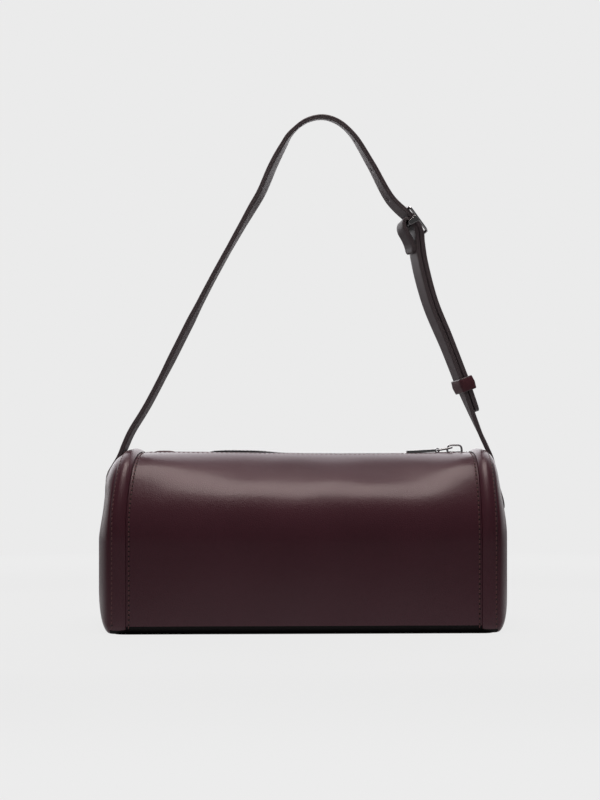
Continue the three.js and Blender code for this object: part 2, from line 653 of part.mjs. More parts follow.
// The twist of the strap at a place, which dies away towards the swing line.
function twistAt(p) {
  const full = lerp(LEFT_TWIST, RIGHT_TWIST, smoothstep(p.x, leftStart / 2, buckleAt.x));
  return degToRad(full * smoothstep(p.z, swingZ, swingZ + TWIST_RISE));
}
const across = new THREE.Vector3(0, -1, 0);
function station(centre, out, thickness, lean = out) {
  const half = across.clone().addScaledVector(lean, Math.tan(twistAt(centre)));
  return { centre, out, thickness, half: half.multiplyScalar(STRAP_WIDTH / 2) };
}

// Round end about the swing line: what is left below the line lies inside a round of the strap's width.
const swingRound = (radius) =>
  new THREE.CylinderGeometry(radius, radius, 3 * BODY_LENGTH, 32).rotateZ(PI / 2).translate(0, 0, swingZ);
const belowSwing = cut(
  box([-BODY_LENGTH, -STRAP_WIDTH, swingZ - 2 * STRAP_WIDTH], [BODY_LENGTH, STRAP_WIDTH, swingZ]),
  swingRound(STRAP_WIDTH / 2),
);

// Long strap: from the left end over the top, through the buckle and down outside the short strap.
const layerStep = (s) => thicknessAt(s) / 2 + STRAP_GAP + STRAP_THICKNESS / 2;
const tailPoints = [0.05, 0.1, 0.2, 0.4, 0.6, 0.8, 1].map((share) => {
  const s = share * TAIL_LENGTH;
  const { centre, out } = shortAt(s);
  return centre.addScaledVector(out, layerStep(s));
});
const longLine = new THREE.CatmullRomCurve3([
  legFoot(leftStart, LEFT_SLOPE, endRun),
  spot(leftStart, swingZ),
  ...LEFT_LEG.map(fromLeft),
  apex,
  ...RIGHT_LEG.map(fromRight),
  buckleAt,
  ...tailPoints,
]);
longLine.arcLengthDivisions = 1200;
const longLength = longLine.getLength();
const longStations = runsAlong(longLine, 0).map((run) => {
  const u = run / longLength;
  return station(longLine.getPointAt(u), outwards(longLine.getTangentAt(u)), STRAP_THICKNESS);
});

// The length along the long strap at which it passes the buckle's bar.
let buckleRun = 0;
let nearest = Infinity;
for (const u of steps(0, 1, 2000)) {
  const distance = longLine.getPointAt(u).distanceTo(buckleAt);
  if (distance < nearest) [nearest, buckleRun] = [distance, u * longLength];
}
function strapHole(run, length) {
  const u = run / longLength;
  const at = station(longLine.getPointAt(u), outwards(longLine.getTangentAt(u)), STRAP_THICKNESS);
  const along = longLine.getTangentAt(u);
  const side = at.half.clone().normalize();
  const round = (shift) => {
    const pin = new THREE.CylinderGeometry(HOLE_DIAMETER / 2, HOLE_DIAMETER / 2, 3 * STRAP_THICKNESS, 8);
    const frame = new THREE.Matrix4().makeBasis(side, along.clone().cross(side), along);
    return pin.applyMatrix4(frame).translate(...at.centre.clone().addScaledVector(along, shift).toArray());
  };
  if (length <= HOLE_DIAMETER) return round(0);
  const half = (length - HOLE_DIAMETER) / 2;
  return joined([-half, 0, half].map(round));
}
const prongSlot = strapHole(buckleRun - PRONG_HOLE, 2 * HOLE_DIAMETER);
const spareHoles = steps(1, HOLES_EACH_SIDE, HOLES_EACH_SIDE - 1).flatMap((n) =>
  [-1, 1].map((way) => strapHole(buckleRun + way * n * HOLE_PITCH, 0)),
);
place("long_strap", cut(ribbon(longStations), belowSwing, prongSlot, ...spareHoles), strapLeather());

// Short strap: folded back under itself round the buckle's bar, then down to the right end.
function foldGap(s) {
  const laidFlat = thicknessAt(s) / 2 + STRAP_GAP + FOLD_THICKNESS / 2;
  const slack = FOLD_SLACK * sin(PI * sqrt(s / FOLD_LENGTH)) ** 2;
  return lerp(2 * foldRadius, laidFlat, smoothstep(s, 0, FOLD_LENGTH / 2)) + slack;
}
const foldBack = steps(FOLD_LENGTH, foldRadius, 8).map((s) => {
  const { centre, out } = shortAt(s);
  return station(centre.addScaledVector(out, -foldGap(s)), out.clone().negate(), FOLD_THICKNESS, out);
});
const turn = steps(-PI, 0, 8).map((a) => {
  const out = buckleOut.clone().multiplyScalar(cos(a)).addScaledVector(buckleAlong, sin(a));
  return station(barAt.clone().addScaledVector(out, foldRadius), out, FOLD_THICKNESS, buckleOut);
});
const mainRun = runsAlong(shortLine, foldRadius).map((s) => {
  const { centre, out } = shortAt(s);
  return station(centre, out, thicknessAt(s));
});

// The buckle stands in its own group, turned with the strap's twist: x along, y across, z out.
const buckleTwist = twistAt(buckleAt);
const buckle = new THREE.Group();
const turned = (out, twist) =>
  across.clone().multiplyScalar(-cos(twist)).addScaledVector(out, -sin(twist));
const buckleAcross = turned(buckleOut, buckleTwist);
const buckleUp = buckleAlong.clone().cross(buckleAcross);
const buckleShift = (barDrop / 2) * sin(buckleTwist); // shares the strap layers' slant between both sides
const buckleOrigin = buckleAt.clone().addScaledVector(across, -buckleShift);
buckle.applyMatrix4(
  new THREE.Matrix4().makeBasis(buckleAlong, buckleAcross, buckleUp).setPosition(buckleOrigin),
);
bag.add(buckle);
buckle.updateMatrixWorld(true);
const eyeRadius = BAR_RADIUS + PRONG_PLAY;
const collarRadius = eyeRadius + PRONG_EYE_WALL;
const prongWay = PRONG_COLLAR / 2 + 2 * PRONG_PLAY;
const foldSlot = box(
  [-foldRadius - 2 * FOLD_THICKNESS, -prongWay, -barDrop - collarRadius - PRONG_PLAY],
  [collarRadius + 2 * PRONG_PLAY, prongWay, -STRAP_THICKNESS / 2],
).translate(0, -buckleShift, 0).applyMatrix4(buckle.matrixWorld);
place(
  "short_strap",
  cut(ribbon([...foldBack, ...turn, ...mainRun]), belowSwing, foldSlot),
  strapLeather(),
);

// Buckle frame: flat rails over the strap, and an arm down each side to the bar under it.
const railFoot = STRAP_THICKNESS / 2 + STRAP_GAP;
const railTop = railFoot + RAIL_HEIGHT;
const railRun = BUCKLE_LENGTH / 2 - RAIL_WIDTH;
const sideAcross = STRAP_WIDTH / 2 / cos(buckleTwist) + BUCKLE_PLAY;
const rectangle = (shape, halfX, halfY) =>
  shape.moveTo(-halfX, -halfY).lineTo(halfX, -halfY).lineTo(halfX, halfY).lineTo(-halfX, halfY).closePath();
const rails = rectangle(new THREE.Shape(), railRun + RAIL_WIDTH, sideAcross + RAIL_WIDTH);
rails.holes.push(rectangle(new THREE.Path(), railRun, sideAcross));
const plain = { bevelEnabled: false };
const frame = new THREE.ExtrudeGeometry(rails, { depth: RAIL_HEIGHT, ...plain }).translate(0, 0, railFoot);
const lugFoot = LUG_FOOT / 2;
const lug = new THREE.Shape([
  new THREE.Vector2(-LUG_WIDTH / 2, railFoot + RAIL_HEIGHT / 2),
  new THREE.Vector2(-lugFoot, -barDrop - lugFoot),
  new THREE.Vector2(lugFoot, -barDrop - lugFoot),
  new THREE.Vector2(LUG_WIDTH / 2, railFoot + RAIL_HEIGHT / 2),
]);
const lugs = [-sideAcross, sideAcross + RAIL_WIDTH].map((y) =>
  new THREE.ExtrudeGeometry(lug, { depth: RAIL_WIDTH, ...plain }).rotateX(PI / 2).translate(0, y, 0),
);
const barReach = sideAcross + RAIL_WIDTH / 2;
const centreBar = wire([[0, -barReach, -barDrop], [0, barReach, -barDrop]], BAR_RADIUS);
place("buckle_frame", joined([frame, ...lugs, centreBar]), silver(), buckle);

// Prong: an eye on the bar, up through the strap's hole, and along to rest on the upper rail.
const restOut = railTop + PRONG_WIRE + PRONG_PLAY;
const roundBar = (radius, length) =>
  new THREE.CylinderGeometry(radius, radius, length, 10).translate(0, 0, -barDrop);
const prongEye = roundBar(collarRadius, PRONG_COLLAR);
const prongArm = wire(
  [
    [-PRONG_WIRE, 0, -barDrop + eyeRadius + PRONG_EYE_WALL / 2],
    [-PRONG_HOLE, 0, 0],
    [-PRONG_KNEE, 0, railTop + PRONG_WIRE / 2],
    [-railRun - RAIL_WIDTH - PRONG_OVERHANG, 0, restOut + PRONG_TIP_RISE],
  ],
  PRONG_WIRE,
);
const prong = place(
  "buckle_prong",
  cut(joined([prongEye, prongArm]), roundBar(eyeRadius, 2 * PRONG_COLLAR)),
  silver(),
  buckle,
);
prong.position.y = -buckleShift;

// Keeper: a leather loop round the short strap and the long strap's tail.
const keeperSpot = shortAt(KEEPER_PLACE);
const keeperTwist = twistAt(keeperSpot.centre);
const keeperAlong = spot(keeperSpot.out.z, -keeperSpot.out.x);
const keeperAcross = turned(keeperSpot.out, keeperTwist);
const keeperUp = keeperAlong.clone().cross(keeperAcross);
const keeperAt = keeperSpot.centre.clone().addScaledVector(keeperSpot.out, layerStep(KEEPER_PLACE) / 2);
const keeper = new THREE.Group();
keeper.applyMatrix4(
  new THREE.Matrix4().makeBasis(keeperAlong, keeperAcross, keeperUp).setPosition(keeperAt),
);
bag.add(keeper);
const keeperHalfY = STRAP_WIDTH / 2 / cos(keeperTwist) + KEEPER_PLAY;
const keeperHalfZ = STRAP_THICKNESS + STRAP_GAP / 2 + KEEPER_PLAY;
function rounded(shape, wall) {
  const radius = KEEPER_WALL / 2 + wall;
  const y = keeperHalfY + wall - radius;
  const z = keeperHalfZ + wall - radius;
  [[z, y], [-z, y], [-z, -y], [z, -y]].forEach(([u, v], i) => {
    shape.absarc(u, v, radius, (i * PI) / 2, ((i + 1) * PI) / 2, false);
  });
  return shape;
}
const keeperRing = rounded(new THREE.Shape(), KEEPER_WALL);
keeperRing.holes.push(rounded(new THREE.Path(), 0));
const keeperLoop = new THREE.ExtrudeGeometry(keeperRing, {
  depth: KEEPER_LENGTH,
  bevelEnabled: false,
  curveSegments: 3,
}).translate(0, 0, -KEEPER_LENGTH / 2).rotateY(PI / 2);
place("strap_keeper", keeperLoop, keeperLeather(), keeper);

// Sewn strap ends: up the end panel, then free to the swing line, with a hollow for the round end.
const hollow = swingRound(STRAP_WIDTH / 2 + STRAP_GAP);
const aboveSwing = box([-BODY_LENGTH, -STRAP_WIDTH, swingZ], [BODY_LENGTH, STRAP_WIDTH, 2 * swingZ]);
for (const [name, hand, slope] of [["left", -1, LEFT_SLOPE], ["right", 1, RIGHT_SLOPE]]) {
  const laid = steps(ANCHOR_FOOT, leaveZ, 5).map((z) => spot(domeAt(hand, z, layOn), z));
  const line = new THREE.CatmullRomCurve3([...laid, spot(legStart(hand, slope), swingZ)]);
  const stations = steps(0, 1, 14).map((u) => {
    const out = outwards(line.getTangentAt(u)).multiplyScalar(-hand);
    return station(line.getPointAt(u), out, STRAP_THICKNESS);
  });
  place(`${name}_strap_end`, cut(ribbon(stations), hollow, aboveSwing), strapLeather());
}

export default bag;
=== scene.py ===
import json
import math

import bpy
import numpy as np
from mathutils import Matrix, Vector


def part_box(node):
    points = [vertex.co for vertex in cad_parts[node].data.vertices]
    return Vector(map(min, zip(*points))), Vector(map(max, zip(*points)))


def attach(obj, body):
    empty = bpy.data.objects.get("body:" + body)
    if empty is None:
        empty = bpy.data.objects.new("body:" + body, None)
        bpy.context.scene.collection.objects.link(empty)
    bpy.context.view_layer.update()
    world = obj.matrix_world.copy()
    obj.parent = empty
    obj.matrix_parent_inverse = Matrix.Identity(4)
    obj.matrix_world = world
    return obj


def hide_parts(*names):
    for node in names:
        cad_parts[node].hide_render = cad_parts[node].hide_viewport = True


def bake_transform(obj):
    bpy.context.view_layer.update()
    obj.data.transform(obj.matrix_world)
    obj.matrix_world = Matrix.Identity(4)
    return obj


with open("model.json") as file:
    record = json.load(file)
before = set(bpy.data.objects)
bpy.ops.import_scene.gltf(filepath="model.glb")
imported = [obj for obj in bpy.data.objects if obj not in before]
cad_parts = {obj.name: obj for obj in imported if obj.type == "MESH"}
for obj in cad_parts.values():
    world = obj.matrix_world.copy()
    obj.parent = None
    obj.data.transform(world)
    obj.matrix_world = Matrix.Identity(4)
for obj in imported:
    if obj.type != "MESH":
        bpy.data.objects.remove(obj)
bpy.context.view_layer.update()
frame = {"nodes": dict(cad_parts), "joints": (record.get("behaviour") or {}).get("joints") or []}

joints = {joint["name"]: joint for joint in frame["joints"]}

# Front and back: two panels of smooth, finely grained burgundy leather, each in one piece from the
# base to the zip. They turn under the bag at the foot, where their rounded foot is coloured black:
# partly the black base leather, partly painted shade of the turned-under foot. They are sewn into a band
# at each end, and sink a little along the top, where only the zip holds them.
MM = 0.001
BODY_LENGTH = 268.6 * MM
BODY_DEPTH = 122.4 * MM
BODY_HEIGHT = 123.5 * MM
BASE_CORNER = 5 * MM
SHOULDER_ANGLE = math.radians(42)
LEATHER = 1.8 * MM
SEAM_GAP = 0.3 * MM
BASE_LAP = 12 * MM
FLOOR_LAYER = 0.3 * MM
LEAN = 0.046
LEAN_START = math.radians(15)
TOP_SHIFT = 4.75 * MM
SAG = 0.4 * MM
SAG_START = 100 * MM
CREST_LIFT = 0.9 * MM
CREST_PLACE = -50 * MM
CREST_REACH = 50 * MM
BAND_WIDTH = 11.3 * MM
BAND_LAP = 9 * MM
SLOT_WIDTH = 13 * MM
BELLY = 1.4 * MM
HOLLOW = 2.3 * MM
HOLLOW_ROUND = 179 * MM
HOLLOW_WIDTH = 20 * MM
HOLLOW_LEFT = -55 * MM
HOLLOW_RIGHT = 78 * MM
HOLLOW_DEEPEST = 72 * MM
HOLLOW_SPREAD = 42 * MM
WAVE_ROUND = 176 * MM
WAVE_WIDTH = 22 * MM
RIDGE = 3.5 * MM
RIDGE_ANGLE = math.radians(60)
RIDGE_SPREAD = 0.3
RIDGE_REACH = 38 * MM
SEAM_TUCK = 0.45 * MM
TUCK_REACH = 5 * MM
FOOT_FILL = 0.35
FILL_RISE = 30 * MM
SIDES = (("front", -1), ("back", 1))

half_length = BODY_LENGTH / 2
half_depth = BODY_DEPTH / 2
arc_centre = BODY_HEIGHT - half_depth
band_inner = half_length - SEAM_GAP - BAND_WIDTH
band_end = half_length - SEAM_GAP
panel_end = band_inner + BAND_LAP
crest_scale = 1 - LEAN
flat_end = half_depth - BASE_CORNER
corner_end = flat_end + BASE_CORNER * math.pi / 2
wall_end = corner_end + arc_centre - FLOOR_LAYER - BASE_CORNER
crest_end = wall_end + half_depth * math.pi / 2
shoulder_at = wall_end + half_depth * SHOULDER_ANGLE
slot_edge = wall_end + half_depth * math.acos(SLOT_WIDTH / 2 / half_depth)


def ease(value, start, end):
    share = np.clip((value - start) / (end - start), 0, 1)
    return share * share * (3 - 2 * share)


def outline(s):
    """The half section: distance from the bag's middle plane, height, and the way it faces."""
    corner = np.clip((s - flat_end) / BASE_CORNER, 0, math.pi / 2)
    top = np.maximum(s - wall_end, 0) / half_depth
    rise = np.clip(s - corner_end, 0, wall_end - corner_end)
    y = np.minimum(s, flat_end) + BASE_CORNER * np.sin(corner) - half_depth * (1 - np.cos(top))
    z = FLOOR_LAYER + BASE_CORNER * (1 - np.cos(corner)) + rise + half_depth * np.sin(top)
    return y, z, corner + top - math.pi / 2


def leaned(x, turned):
    """The ends lean in over the top curve, and the top leans to the buckle's side."""
    share = np.clip((turned - LEAN_START) / (math.pi / 2 - LEAN_START), 0, 1) ** 1.5
    return x * (1 - LEAN * share) + TOP_SHIFT * share


def droop(x):
    """How far the top sinks below its arc: a little in the middle, and less over the left half."""
    sunk = SAG * np.cos(np.clip(np.pi * x / (2 * band_inner), -np.pi / 2, np.pi / 2)) ** 2
    return sunk - CREST_LIFT * np.exp(-(((x - CREST_PLACE) / CREST_REACH) ** 2))


def skin(side, s, x, out):
    """Points of the bag's skin: side is -1 for the front and 1 for the back."""
    y, z, facing = outline(s)
    up = z + np.sin(facing) * out
    along = leaned(x, np.maximum(facing, 0))
    up = up - droop(along) * ease(up, SAG_START, BODY_HEIGHT)
    return np.stack(np.broadcast_arrays(along, side * (y + np.cos(facing) * out), up), axis=-1)


def filled(s):
    """The seams are drawn deep over the shoulders and lie nearly flush at the foot."""
    return FOOT_FILL + (1 - FOOT_FILL) * ease(s, wall_end - FILL_RISE, shoulder_at)


def shoulder(s):
    """The bands and the leather beside them stand fuller over the shoulders."""
    return RIDGE * np.exp(-((((s - wall_end) / half_depth - RIDGE_ANGLE) / RIDGE_SPREAD) ** 2))


def panel_out(s, x):
    """How far a panel stands off the plain barrel: belly, sunken top, tucked seams, slight waves."""
    middle = 1 - (x / band_inner) ** 2
    belly = BELLY * middle * np.sin(np.pi * np.clip((s - flat_end) / (shoulder_at - flat_end), 0, 1)) ** 2
    sunk = np.exp(-((s - HOLLOW_ROUND) / HOLLOW_WIDTH) ** 2)
    sunk = sunk * ease(x, -band_inner, HOLLOW_LEFT) * ease(-x, -band_inner, -HOLLOW_RIGHT)
    sunk = sunk * (1 + 0.5 * np.exp(-((x - HOLLOW_DEEPEST) / HOLLOW_SPREAD) ** 2))
    inside = np.abs(band_inner - np.abs(x))
    ridge = shoulder(s) * np.exp(-((inside / RIDGE_REACH) ** 2))
    tuck = np.exp(-inside / TUCK_REACH) * filled(s)
    top = np.exp(-((s - WAVE_ROUND) / WAVE_WIDTH) ** 2)
    waves = 0.22 * np.sin(41 * x + 23 * s) + 0.12 * np.sin(83 * x - 57 * s + 1.3)
    waves = waves + top * (0.4 * np.sin(71 * x + 30 * s + 1.1) + 0.22 * np.sin(137 * x - 44 * s + 0.4))
    still = ease(s, flat_end, corner_end) * ease(crest_end - s, 0, 25 * MM) * middle
    return belly - HOLLOW * sunk + ridge - SEAM_TUCK * tuck + MM * waves * still


def rows(grid, ring_u=False, ring_v=False, caps=False, flip=False, tint=None):
    """Points and faces of a surface through rows of points; tint gives each column's material."""
    count_u, count_v = grid.shape[:2]
    index = np.arange(count_u * count_v).reshape(count_u, count_v)
    if ring_u:
        index = np.vstack([index, index[:1]])
    if ring_v:
        index = np.hstack([index, index[:, :1]])
    quads = np.stack([index[:-1, :-1], index[1:, :-1], index[1:, 1:], index[:-1, 1:]], axis=-1)
    tints = np.zeros(quads.shape[:2], int) if tint is None else np.broadcast_to(tint, quads.shape[:2])
    faces = quads.reshape(-1, 4).tolist()
    tints = tints.reshape(-1).tolist()
    if caps:
        faces += [index[0, :count_v].tolist(), index[-1, :count_v][::-1].tolist()]
        tints += [max(tints), max(tints)]
    if flip:
        faces = [face[::-1] for face in faces]
    return grid.reshape(-1, 3), faces, tints


def piece(name, parts, *finishes):
    """One mesh object from parts, each of points, faces and material numbers."""
    points, faces, tints = [], [], []
    for part_points, part_faces, part_tints in parts:
        start = sum(len(p) for p in points)
        points.append(part_points)
        faces += [[i + start for i in face] for face in part_faces]
        tints += part_tints
    mesh = bpy.data.meshes.new(name)
    mesh.from_pydata(np.vstack(points).tolist(), [], faces)
    for finish in finishes:
        mesh.materials.append(finish)
    mesh.polygons.foreach_set("material_index", tints)
    mesh.polygons.foreach_set("use_smooth", [True] * len(faces))
    mesh.validate()
    made = bpy.data.objects.new(name, mesh)
    bpy.context.scene.collection.objects.link(made)
    return made


def thicken(sheet, thickness, edge):
    solid = sheet.modifiers.new("thickness", "SOLIDIFY")
    solid.thickness = thickness
    solid.offset = -1
    soften(sheet, edge)


def soften(sheet, edge, segments=2):
    eased = sheet.modifiers.new("eased_edges", "BEVEL")
    eased.width = edge
    eased.segments = segments
    eased.limit_method = "ANGLE"
    eased.angle_limit = math.radians(40)
    even = sheet.modifiers.new("even_shading", "WEIGHTED_NORMAL")
    even.keep_sharp = False


def node_group(name, inputs, outputs):
    tree = bpy.data.node_groups.new(name, "ShaderNodeTree")
    for label, value in inputs.items():
        tree.interface.new_socket(label, in_out="INPUT", socket_type="NodeSocketFloat").default_value = value
    for label in outputs:
        tree.interface.new_socket(label, in_out="OUTPUT", socket_type="NodeSocketFloat")
    return tree, tree.nodes.new("NodeGroupInput"), tree.nodes.new("NodeGroupOutput")


def combine(tree, operation, first, second):
    """A Math node; each side is a socket or a number."""
    made = tree.nodes.new("ShaderNodeMath")
    made.operation = operation
    for socket, value in zip(made.inputs, (first, second)):
        if isinstance(value, (int, float)):
            socket.default_value = value
        else:
            tree.links.new(value, socket)
    return made.outputs[0]


def noise(tree, place, scale, detail):
    made = tree.nodes.new("ShaderNodeTexNoise")
    made.inputs["Detail"].default_value = detail
    tree.links.new(place, made.inputs["Vector"])
    if isinstance(scale, (int, float)):
        made.inputs["Scale"].default_value = scale
    else:
        tree.links.new(scale, made.inputs["Scale"])
    return made.outputs[0]


def make_leather_grain():
    """Pebbled grain with fine pores and faint creases, and slow changes of tone in the dye."""
    tree, given, result = node_group(
        "leather_grain", {"Pebbles per metre": 900.0}, ["Height", "Pores", "Tone"]
    )
    place = tree.nodes.new("ShaderNodeTexCoord").outputs["Object"]
    pebbles = tree.nodes.new("ShaderNodeTexVoronoi")
    pebbles.feature = "DISTANCE_TO_EDGE"
    tree.links.new(place, pebbles.inputs["Vector"])
    tree.links.new(given.outputs[0], pebbles.inputs["Scale"])
    domed = combine(tree, "MINIMUM", pebbles.outputs["Distance"], 0.3)
    pores = noise(tree, place, combine(tree, "MULTIPLY", given.outputs[0], 3.1), 2)
    creases = noise(tree, place, 130, 4)
    height = combine(tree, "MULTIPLY", domed, 1.6)
    for layer, share in ((pores, 0.35), (creases, 0.6)):
        height = combine(tree, "ADD", height, combine(tree, "MULTIPLY", layer, share))
    tree.links.new(height, result.inputs["Height"])
    tree.links.new(pores, result.inputs["Pores"])
    tree.links.new(noise(tree, place, 24, 3), result.inputs["Tone"])
    return tree


def srgb(red, green, blue):
    parts = [c / 255 for c in (red, green, blue)]
    return [c / 12.92 if c <= 0.04045 else ((c + 0.055) / 1.055) ** 2.4 for c in parts] + [1]


def surface(name, sockets):
    """A material with its Principled shader's plain values set."""
    made = bpy.data.materials.new(name)
    made.use_nodes = True
    shader = made.node_tree.nodes["Principled BSDF"]
    for label, value in sockets.items():
        shader.inputs[label].default_value = value
    return made, made.node_tree, shader


def place_group(tree, group, **inputs):
    made = tree.nodes.new("ShaderNodeGroup")
    made.node_tree = group
    for label, value in inputs.items():
        made.inputs[label.replace("_", " ")].default_value = value
    return made


def blend_colours(tree, mask, dark, light, target):
    mixed = tree.nodes.new("ShaderNodeMix")
    mixed.data_type = "RGBA"
    mixed.inputs["A"].default_value = dark
    mixed.inputs["B"].default_value = light
    tree.links.new(mask, mixed.inputs["Factor"])
    tree.links.new(mixed.outputs["Result"], target)


def spread(tree, mask, low, high, target, start=0.3, end=0.7):
    ranged = tree.nodes.new("ShaderNodeMapRange")
    for label, value in zip(("From Min", "From Max", "To Min", "To Max"), (start, end, low, high)):
        ranged.inputs[label].default_value = value
    tree.links.new(mask, ranged.inputs["Value"])
    tree.links.new(ranged.outputs["Result"], target)


def relief(tree, height, depth, strength, shader):
    bump = tree.nodes.new("ShaderNodeBump")
    bump.inputs["Distance"].default_value = depth
    bump.inputs["Strength"].default_value = strength
    tree.links.new(height, bump.inputs["Height"])
    tree.links.new(bump.outputs["Normal"], shader.inputs["Normal"])


GRAIN_DEPTH = 0.18 * MM
leather_grain = make_leather_grain()


def leather(name, dark, light, gloss, pebbles=750.0, coat=0.3, strength=0.6):
    """Dyed leather from its darkest and lightest tone, its range of gloss, its grain and its finish."""
    made, tree, shader = surface(name, {"Coat Weight": coat, "Coat Roughness": 0.2, "IOR": 1.45})
    grain = place_group(tree, leather_grain, Pebbles_per_metre=pebbles)
    blend_colours(tree, grain.outputs["Tone"], dark, light, shader.inputs["Base Color"])
    spread(tree, grain.outputs["Pores"], gloss[0], gloss[1], shader.inputs["Roughness"])
    relief(tree, grain.outputs["Height"], GRAIN_DEPTH, strength, shader)
    return made


body_leather = leather("oxblood_leather", srgb(72, 34, 44), srgb(84, 41, 53), (0.29, 0.39))
body_leather.node_tree.nodes["Principled BSDF"].inputs["Specular Tint"].default_value = (1, 0.8, 0.86, 1)


def follow_mouth(part):
    """Bakes the piece's placement into its points."""
    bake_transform(part)


MOUTH_LEFT = TOP_SHIFT - band_inner * crest_scale + 22.5 * MM
MOUTH_RIGHT = TOP_SHIFT + band_inner * crest_scale - 4.5 * MM
LENS_LEFT = MOUTH_LEFT + 18.5 * MM


def spaced(*runs):
    """Numbers along several runs, each of a start, an end and a count of steps."""
    parts = [np.linspace(start, end, count, endpoint=False) for start, end, count in runs]
    return np.concatenate([*parts, [runs[-1][1]]])


# Black base leather. The panels' and bands' rounded foot takes it too, so its black is partly painted shade
# of the turned-under foot; it reflects little so that it stays dark.
black_base_and_foot_shade = leather("black_base_and_foot_shade_leather", srgb(34, 32, 33), srgb(42, 39, 40), (0.55, 0.7), 900.0, 0.0)
black_base_and_foot_shade.node_tree.nodes["Principled BSDF"].inputs["Specular IOR Level"].default_value = 0.1
panel_s = spaced(
    (flat_end - BASE_LAP, flat_end, 4),
    (flat_end, corner_end, 12),
    (corner_end, wall_end, 16),
    (wall_end, slot_edge, 44),
)
seam_side = band_inner - 12 * MM
panel_x = spaced((-panel_end, -seam_side, 18), (-seam_side, seam_side, 90), (seam_side, panel_end, 18))
X, S = np.meshgrid(panel_x, panel_s, indexing="ij")
for name, side in SIDES:
    grid = skin(side, S, X, panel_out(S, X))
    # The rows round the foot take the black material: black base leather and painted shade where the foot
    # turns under.
    foot = (panel_s[:-1] < corner_end).astype(int)[None]
    panel = piece(f"{name}_leather", [rows(grid, flip=side > 0, tint=foot)], body_leather, black_base_and_foot_shade)
    thicken(panel, LEATHER, 0.5 * MM)
    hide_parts(f"{name}_panel", f"{name}_top_flap")
    follow_mouth(panel)

# Lining: a tub of plain-woven cloth inside the panels, up to the shoulders, with a strip of the
# same cloth behind each half of the mouth. A fibre board under it keeps the base flat.
LINING = 0.7 * MM
LINING_SLACK = 1.2 * MM
LINING_FLOOR = 4.7 * MM
FOLD_DEPTH = 2.2 * LINING_SLACK
WAVE_PER_THREAD = 0.157


def make_weave():
    """Plain weave: threads over and under each other in two directions, with slubs."""
    tree, given, result = node_group("weave", {"Threads per metre": 1800.0}, ["Height", "Slubs", "Tone"])
    place = tree.nodes.new("ShaderNodeTexCoord").outputs["Object"]
    threads = []
    for direction in ("X", "Z"):
        wave = tree.nodes.new("ShaderNodeTexWave")
        wave.bands_direction = direction
        wave.inputs["Distortion"].default_value = 0.4
        tree.links.new(place, wave.inputs["Vector"])
        tree.links.new(combine(tree, "MULTIPLY", given.outputs[0], WAVE_PER_THREAD), wave.inputs["Scale"])
        threads.append(wave.outputs["Fac"])
    tree.links.new(combine(tree, "MAXIMUM", *threads), result.inputs["Height"])
    tree.links.new(noise(tree, place, 500, 2), result.inputs["Slubs"])
    tree.links.new(noise(tree, place, 40, 3), result.inputs["Tone"])
    return tree


weave = make_weave()


def cloth(name, dark, light, threads, sheen):
    """Plain-woven cloth from its two tones, its threads to the metre and its nap."""
    made, tree, shader = surface(name, {"Sheen Weight": sheen, "Sheen Roughness": 0.5, "IOR": 1.45})
    woven = place_group(tree, weave, Threads_per_metre=threads)
    blend_colours(tree, woven.outputs["Slubs"], dark, light, shader.inputs["Base Color"])
    spread(tree, woven.outputs["Tone"], 0.78, 0.95, shader.inputs["Roughness"])
    relief(tree, woven.outputs["Height"], 0.15 * MM, 0.5, shader)
    return made


lining_cloth = cloth("lining_cloth", srgb(120, 98, 88), srgb(146, 122, 109), 1800.0, 0.15)
lining_half = panel_end - SEAM_GAP
lining_inset = LEATHER + SEAM_GAP


def lining_point(u, x, slack):
    """The lining's surface: u runs from the front shoulder under the bag to the back shoulder."""
    side = np.where(u < 0, -1, 1)
    points = skin(side, np.abs(u), x, np.minimum(panel_out(np.abs(u), x), 0) - lining_inset - slack)
    points[..., 2] = np.maximum(points[..., 2], LINING_FLOOR)
    return points


tub_u = spaced((-shoulder_at, shoulder_at, 96))
tub_x = spaced((-lining_half, lining_half, 80))
X, U = np.meshgrid(tub_x, tub_u, indexing="ij")
folds = 0.5 + 0.5 * np.sin(47 * X + 9 * np.sin(31 * U)) * np.cos(29 * U + 12 * X)
held = ease(np.abs(U), flat_end, corner_end) * ease(shoulder_at - np.abs(U), 0, 20 * MM)
held = held * ease(lining_half - np.abs(X), 0, 20 * MM)
tub = [rows(lining_point(U, X, FOLD_DEPTH * folds * held), flip=True)]
for hand in (-1, 1):
    rim = lining_point(tub_u, hand * lining_half, 0)
    middle = 0.5 * (rim[0] + rim[-1])
    reach = spaced((0.02, 1, 24))[:, None, None]
    end_wall = middle + reach * (rim - middle)
    end_wall[..., 0] -= hand * LINING_SLACK * (1 - reach[..., 0] ** 6)
    tub.append(rows(end_wall, flip=hand < 0))
lining = piece("lining_tub", tub, lining_cloth)
thicken(lining, LINING, 0.2 * MM)
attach(lining, "body")
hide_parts("main_lining")
end_rim = lining_point(tub_u, lining_half, 0)

strip_s = spaced((shoulder_at + 2 * MM, slot_edge - 6.5 * MM, 16))
strip_left = (MOUTH_LEFT - TOP_SHIFT) / crest_scale + 1.5 * MM
strip_right = (MOUTH_RIGHT - TOP_SHIFT) / crest_scale - 1.5 * MM
strip_x = spaced((strip_left, strip_right, 72))
X, S = np.meshgrid(strip_x, strip_s, indexing="ij")
for name, side in SIDES:
    grid = skin(side, S, X, np.minimum(panel_out(S, X), 0) - lining_inset)
    strip = piece(f"{name}_mouth_lining", [rows(grid, flip=side > 0)], lining_cloth)
    thicken(strip, LINING, 0.2 * MM)
    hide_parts(f"{name}_flap_lining")
    follow_mouth(strip)

fibre_board, tree, shader = surface("fibre_board", {"IOR": 1.4})
fibres = place_group(tree, weave, Threads_per_metre=600.0)
fibre_tones = srgb(96, 78, 58), srgb(122, 101, 76)
blend_colours(tree, fibres.outputs["Slubs"], *fibre_tones, shader.inputs["Base Color"])
spread(tree, fibres.outputs["Tone"], 0.8, 0.95, shader.inputs["Roughness"])


